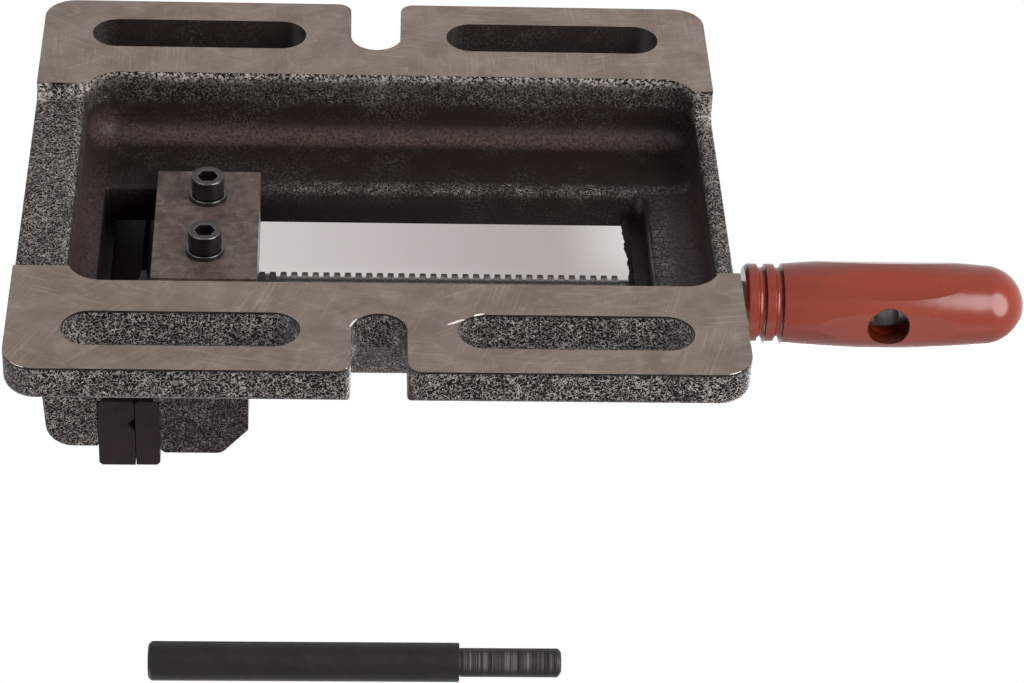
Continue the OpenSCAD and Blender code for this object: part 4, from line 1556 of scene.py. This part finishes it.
@dataclass
class Studio:
    """Camera, lamps, white surround, the pale floor under the vise and a glowing card above its slot,
    which paints the backdrop's shade.
    """

    camera_place: Place = (-14.217 * MM, 817.628 * MM, -564.890 * MM)
    camera_turn_deg: Triple = (-127.336, 2.333, 2.071)
    lens: float = 122.22
    sensor: float = 36.0
    nearest: float = 0.05
    surround: float = 0.18
    floor_half: float = 5.0
    floor_drop: float = 0.4 * MM
    floor_colour: Colour = (0.86, 0.86, 0.86)
    card_half: tuple[float, float] = (88 * MM, 27 * MM)
    card_place: Place = (0.0, -53 * MM, 72 * MM)
    card_shade_left: Colour = srgb(207, 201, 199)
    card_shade_right: Colour = srgb(178, 169, 167)
    card_glow_colour: Colour = srgb(224, 220, 217)
    card_turn_x: Ramp = Ramp(-60 * MM, 60 * MM)
    low_glow_x: Ramp = Ramp(15 * MM, 60 * MM, 1.0, 0.0)
    low_glow_y: Ramp = Ramp(-58 * MM, -36 * MM, 0.0, 0.8)
    end_glow_x: Ramp = Ramp(56 * MM, 82 * MM, 0.0, 0.8)
    end_glow_y: Ramp = Ramp(-68 * MM, -40 * MM, 1.0, 0.3)
    lamps: tuple[Lamp, ...] = (
        Lamp("side_box", (0.78, 0.57, -0.46), 0.9, 1.15, 18.0),
        Lamp("left_fill", (-0.7, 0.5, -0.6), 0.8, 0.8, 3.2),
        Lamp("front_glow", (0.31, 0.85, 0.55), 0.5, 0.5, 0.3),
        Lamp("top_key", (0.5, -0.6, 1.0), 0.7, 0.7, 9.0),
        Lamp("top_fill", (-0.8, 0.4, 0.8), 0.7, 0.7, 3.0),
    )

    def set_camera(self) -> None:
        """Adds the camera at the photograph's viewing angle."""
        data = bpy.data.cameras.new("camera")
        data.sensor_width = self.sensor
        data.lens = self.lens
        data.clip_start = self.nearest
        camera = bpy.data.objects.new("camera", data)
        camera.location = self.camera_place
        camera.rotation_euler = Euler([math.radians(angle) for angle in self.camera_turn_deg], "XYZ")
        bpy.context.scene.collection.objects.link(camera)
        bpy.context.scene.camera = camera

    def set_surround(self) -> None:
        """Makes the world white to the eye and in reflections, and softer as light."""
        world = bpy.data.worlds.new("surround")
        world.use_nodes = True
        nodes, links = world.node_tree.nodes, world.node_tree.links
        back = nodes["Background"]
        back.inputs["Color"].default_value = (1.0, 1.0, 1.0, 1.0)
        ray = nodes.new("ShaderNodeLightPath")
        seen = ray.outputs["Is Camera Ray"]
        for name in ("Is Glossy Ray", "Is Transmission Ray"):
            either = nodes.new("ShaderNodeMath")
            either.operation = "MAXIMUM"
            links.new(seen, either.inputs[0])
            links.new(ray.outputs[name], either.inputs[1])
            seen = either.outputs["Value"]
        level = nodes.new("ShaderNodeMapRange")
        level.inputs["To Min"].default_value = self.surround
        level.inputs["To Max"].default_value = 1.0
        links.new(seen, level.inputs["Value"])
        links.new(level.outputs["Result"], back.inputs["Strength"])
        bpy.context.scene.world = world

    def one_sided(self, look: Graph, paint: bpy.types.Node) -> bpy.types.Material:
        """Makes a sheet's paint clear when it is seen from its back.

        Args:
            look: nodes of the sheet's material.
            paint: the shader of its front.

        Returns:
            The material.
        """
        clear = look.add("ShaderNodeBsdfTransparent")
        choose = look.add("ShaderNodeMixShader")
        look.put(choose.inputs[0], look.add("ShaderNodeNewGeometry").outputs["Backfacing"])
        look.put(choose.inputs[1], paint.outputs[0])
        look.put(choose.inputs[2], clear.outputs[0])
        look.put(look.output.inputs["Surface"], choose.outputs[0])
        return look.material

    def lay_sheet(self, mesh: bmesh.types.BMesh, name: str, material: bpy.types.Material) -> None:
        """Stages a sheet that only the camera sees.

        Args:
            mesh: the sheet's mesh, which is freed.
            name: its name.
            material: its material.
        """
        data = bpy.data.meshes.new(name)
        mesh.to_mesh(data)
        mesh.free()
        data.materials.append(material)
        sheet = bpy.data.objects.new(name, data)
        bpy.context.scene.collection.objects.link(sheet)
        for kind in ("visible_diffuse", "visible_glossy", "visible_transmission", "visible_shadow"):
            setattr(sheet, kind, False)
        sheet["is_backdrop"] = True

    def lay_floor(self) -> None:
        """Lays the floor just under the base, so that it hides nothing from below."""
        mesh = bmesh.new()
        bmesh.ops.create_grid(mesh, x_segments=1, y_segments=1, size=self.floor_half,
                              matrix=Matrix.Translation((0, 0, -self.floor_drop)))
        look = Graph("floor_paint")
        paint = look.fill(look.add("ShaderNodeBsdfDiffuse"), Color=self.floor_colour)
        self.lay_sheet(mesh, "floor", self.one_sided(look, paint))

    def hang_card(self) -> None:
        """Hangs a glowing card that shows through the deck's slot from below and is clear from above:
        painted shade of the backdrop, with painted glows.
        """
        mesh = bmesh.new()
        size = Matrix.Diagonal((*self.card_half, 1.0, 1.0))
        bmesh.ops.create_grid(mesh, x_segments=1, y_segments=1, size=1.0,
                              matrix=Matrix.Translation(self.card_place) @ size)
        bmesh.ops.reverse_faces(mesh, faces=mesh.faces)
        look = Graph("card_painted_shade")
        # Painted shade and painted glows: the card's own light stands for the shaded backdrop seen
        # through the slot.
        shade = look.mix(look.remap(look.x, self.card_turn_x), self.card_shade_left, self.card_shade_right)
        low = look.times(look.remap(look.y, self.low_glow_y), look.remap(look.x, self.low_glow_x))
        end = look.times(look.remap(look.x, self.end_glow_x), look.remap(look.y, self.end_glow_y))
        shade = look.mix(look.calc("MAXIMUM", low, end), shade, self.card_glow_colour)
        paint = look.fill(look.add("ShaderNodeEmission"), Color=shade)
        self.lay_sheet(mesh, "card", self.one_sided(look, paint))

    def build(self) -> None:
        """Sets up the whole studio."""
        bpy.context.scene.view_settings.view_transform = "Standard"
        self.set_camera()
        self.set_surround()
        for lamp in self.lamps:
            lamp.hang()
        self.lay_floor()
        self.hang_card()


def corners(box: tuple[Vector, Vector]) -> list[list[float]]:
    """Gives a box's two corners as plain lists."""
    return [list(corner) for corner in box]


def main() -> None:
    """Builds the vise's pieces in order and reports each."""
    logging.basicConfig(level=logging.INFO, format="%(message)s")
    solid_box = corners(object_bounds())
    Studio().build()
    BaseCasting().dress()
    SlotFlash().dress()
    TommyBar().dress()
    for part in solid_pieces():
        part.dress()
    {"cad": solid_box, "visual": corners(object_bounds())}


if __name__ == "__main__":
    main()
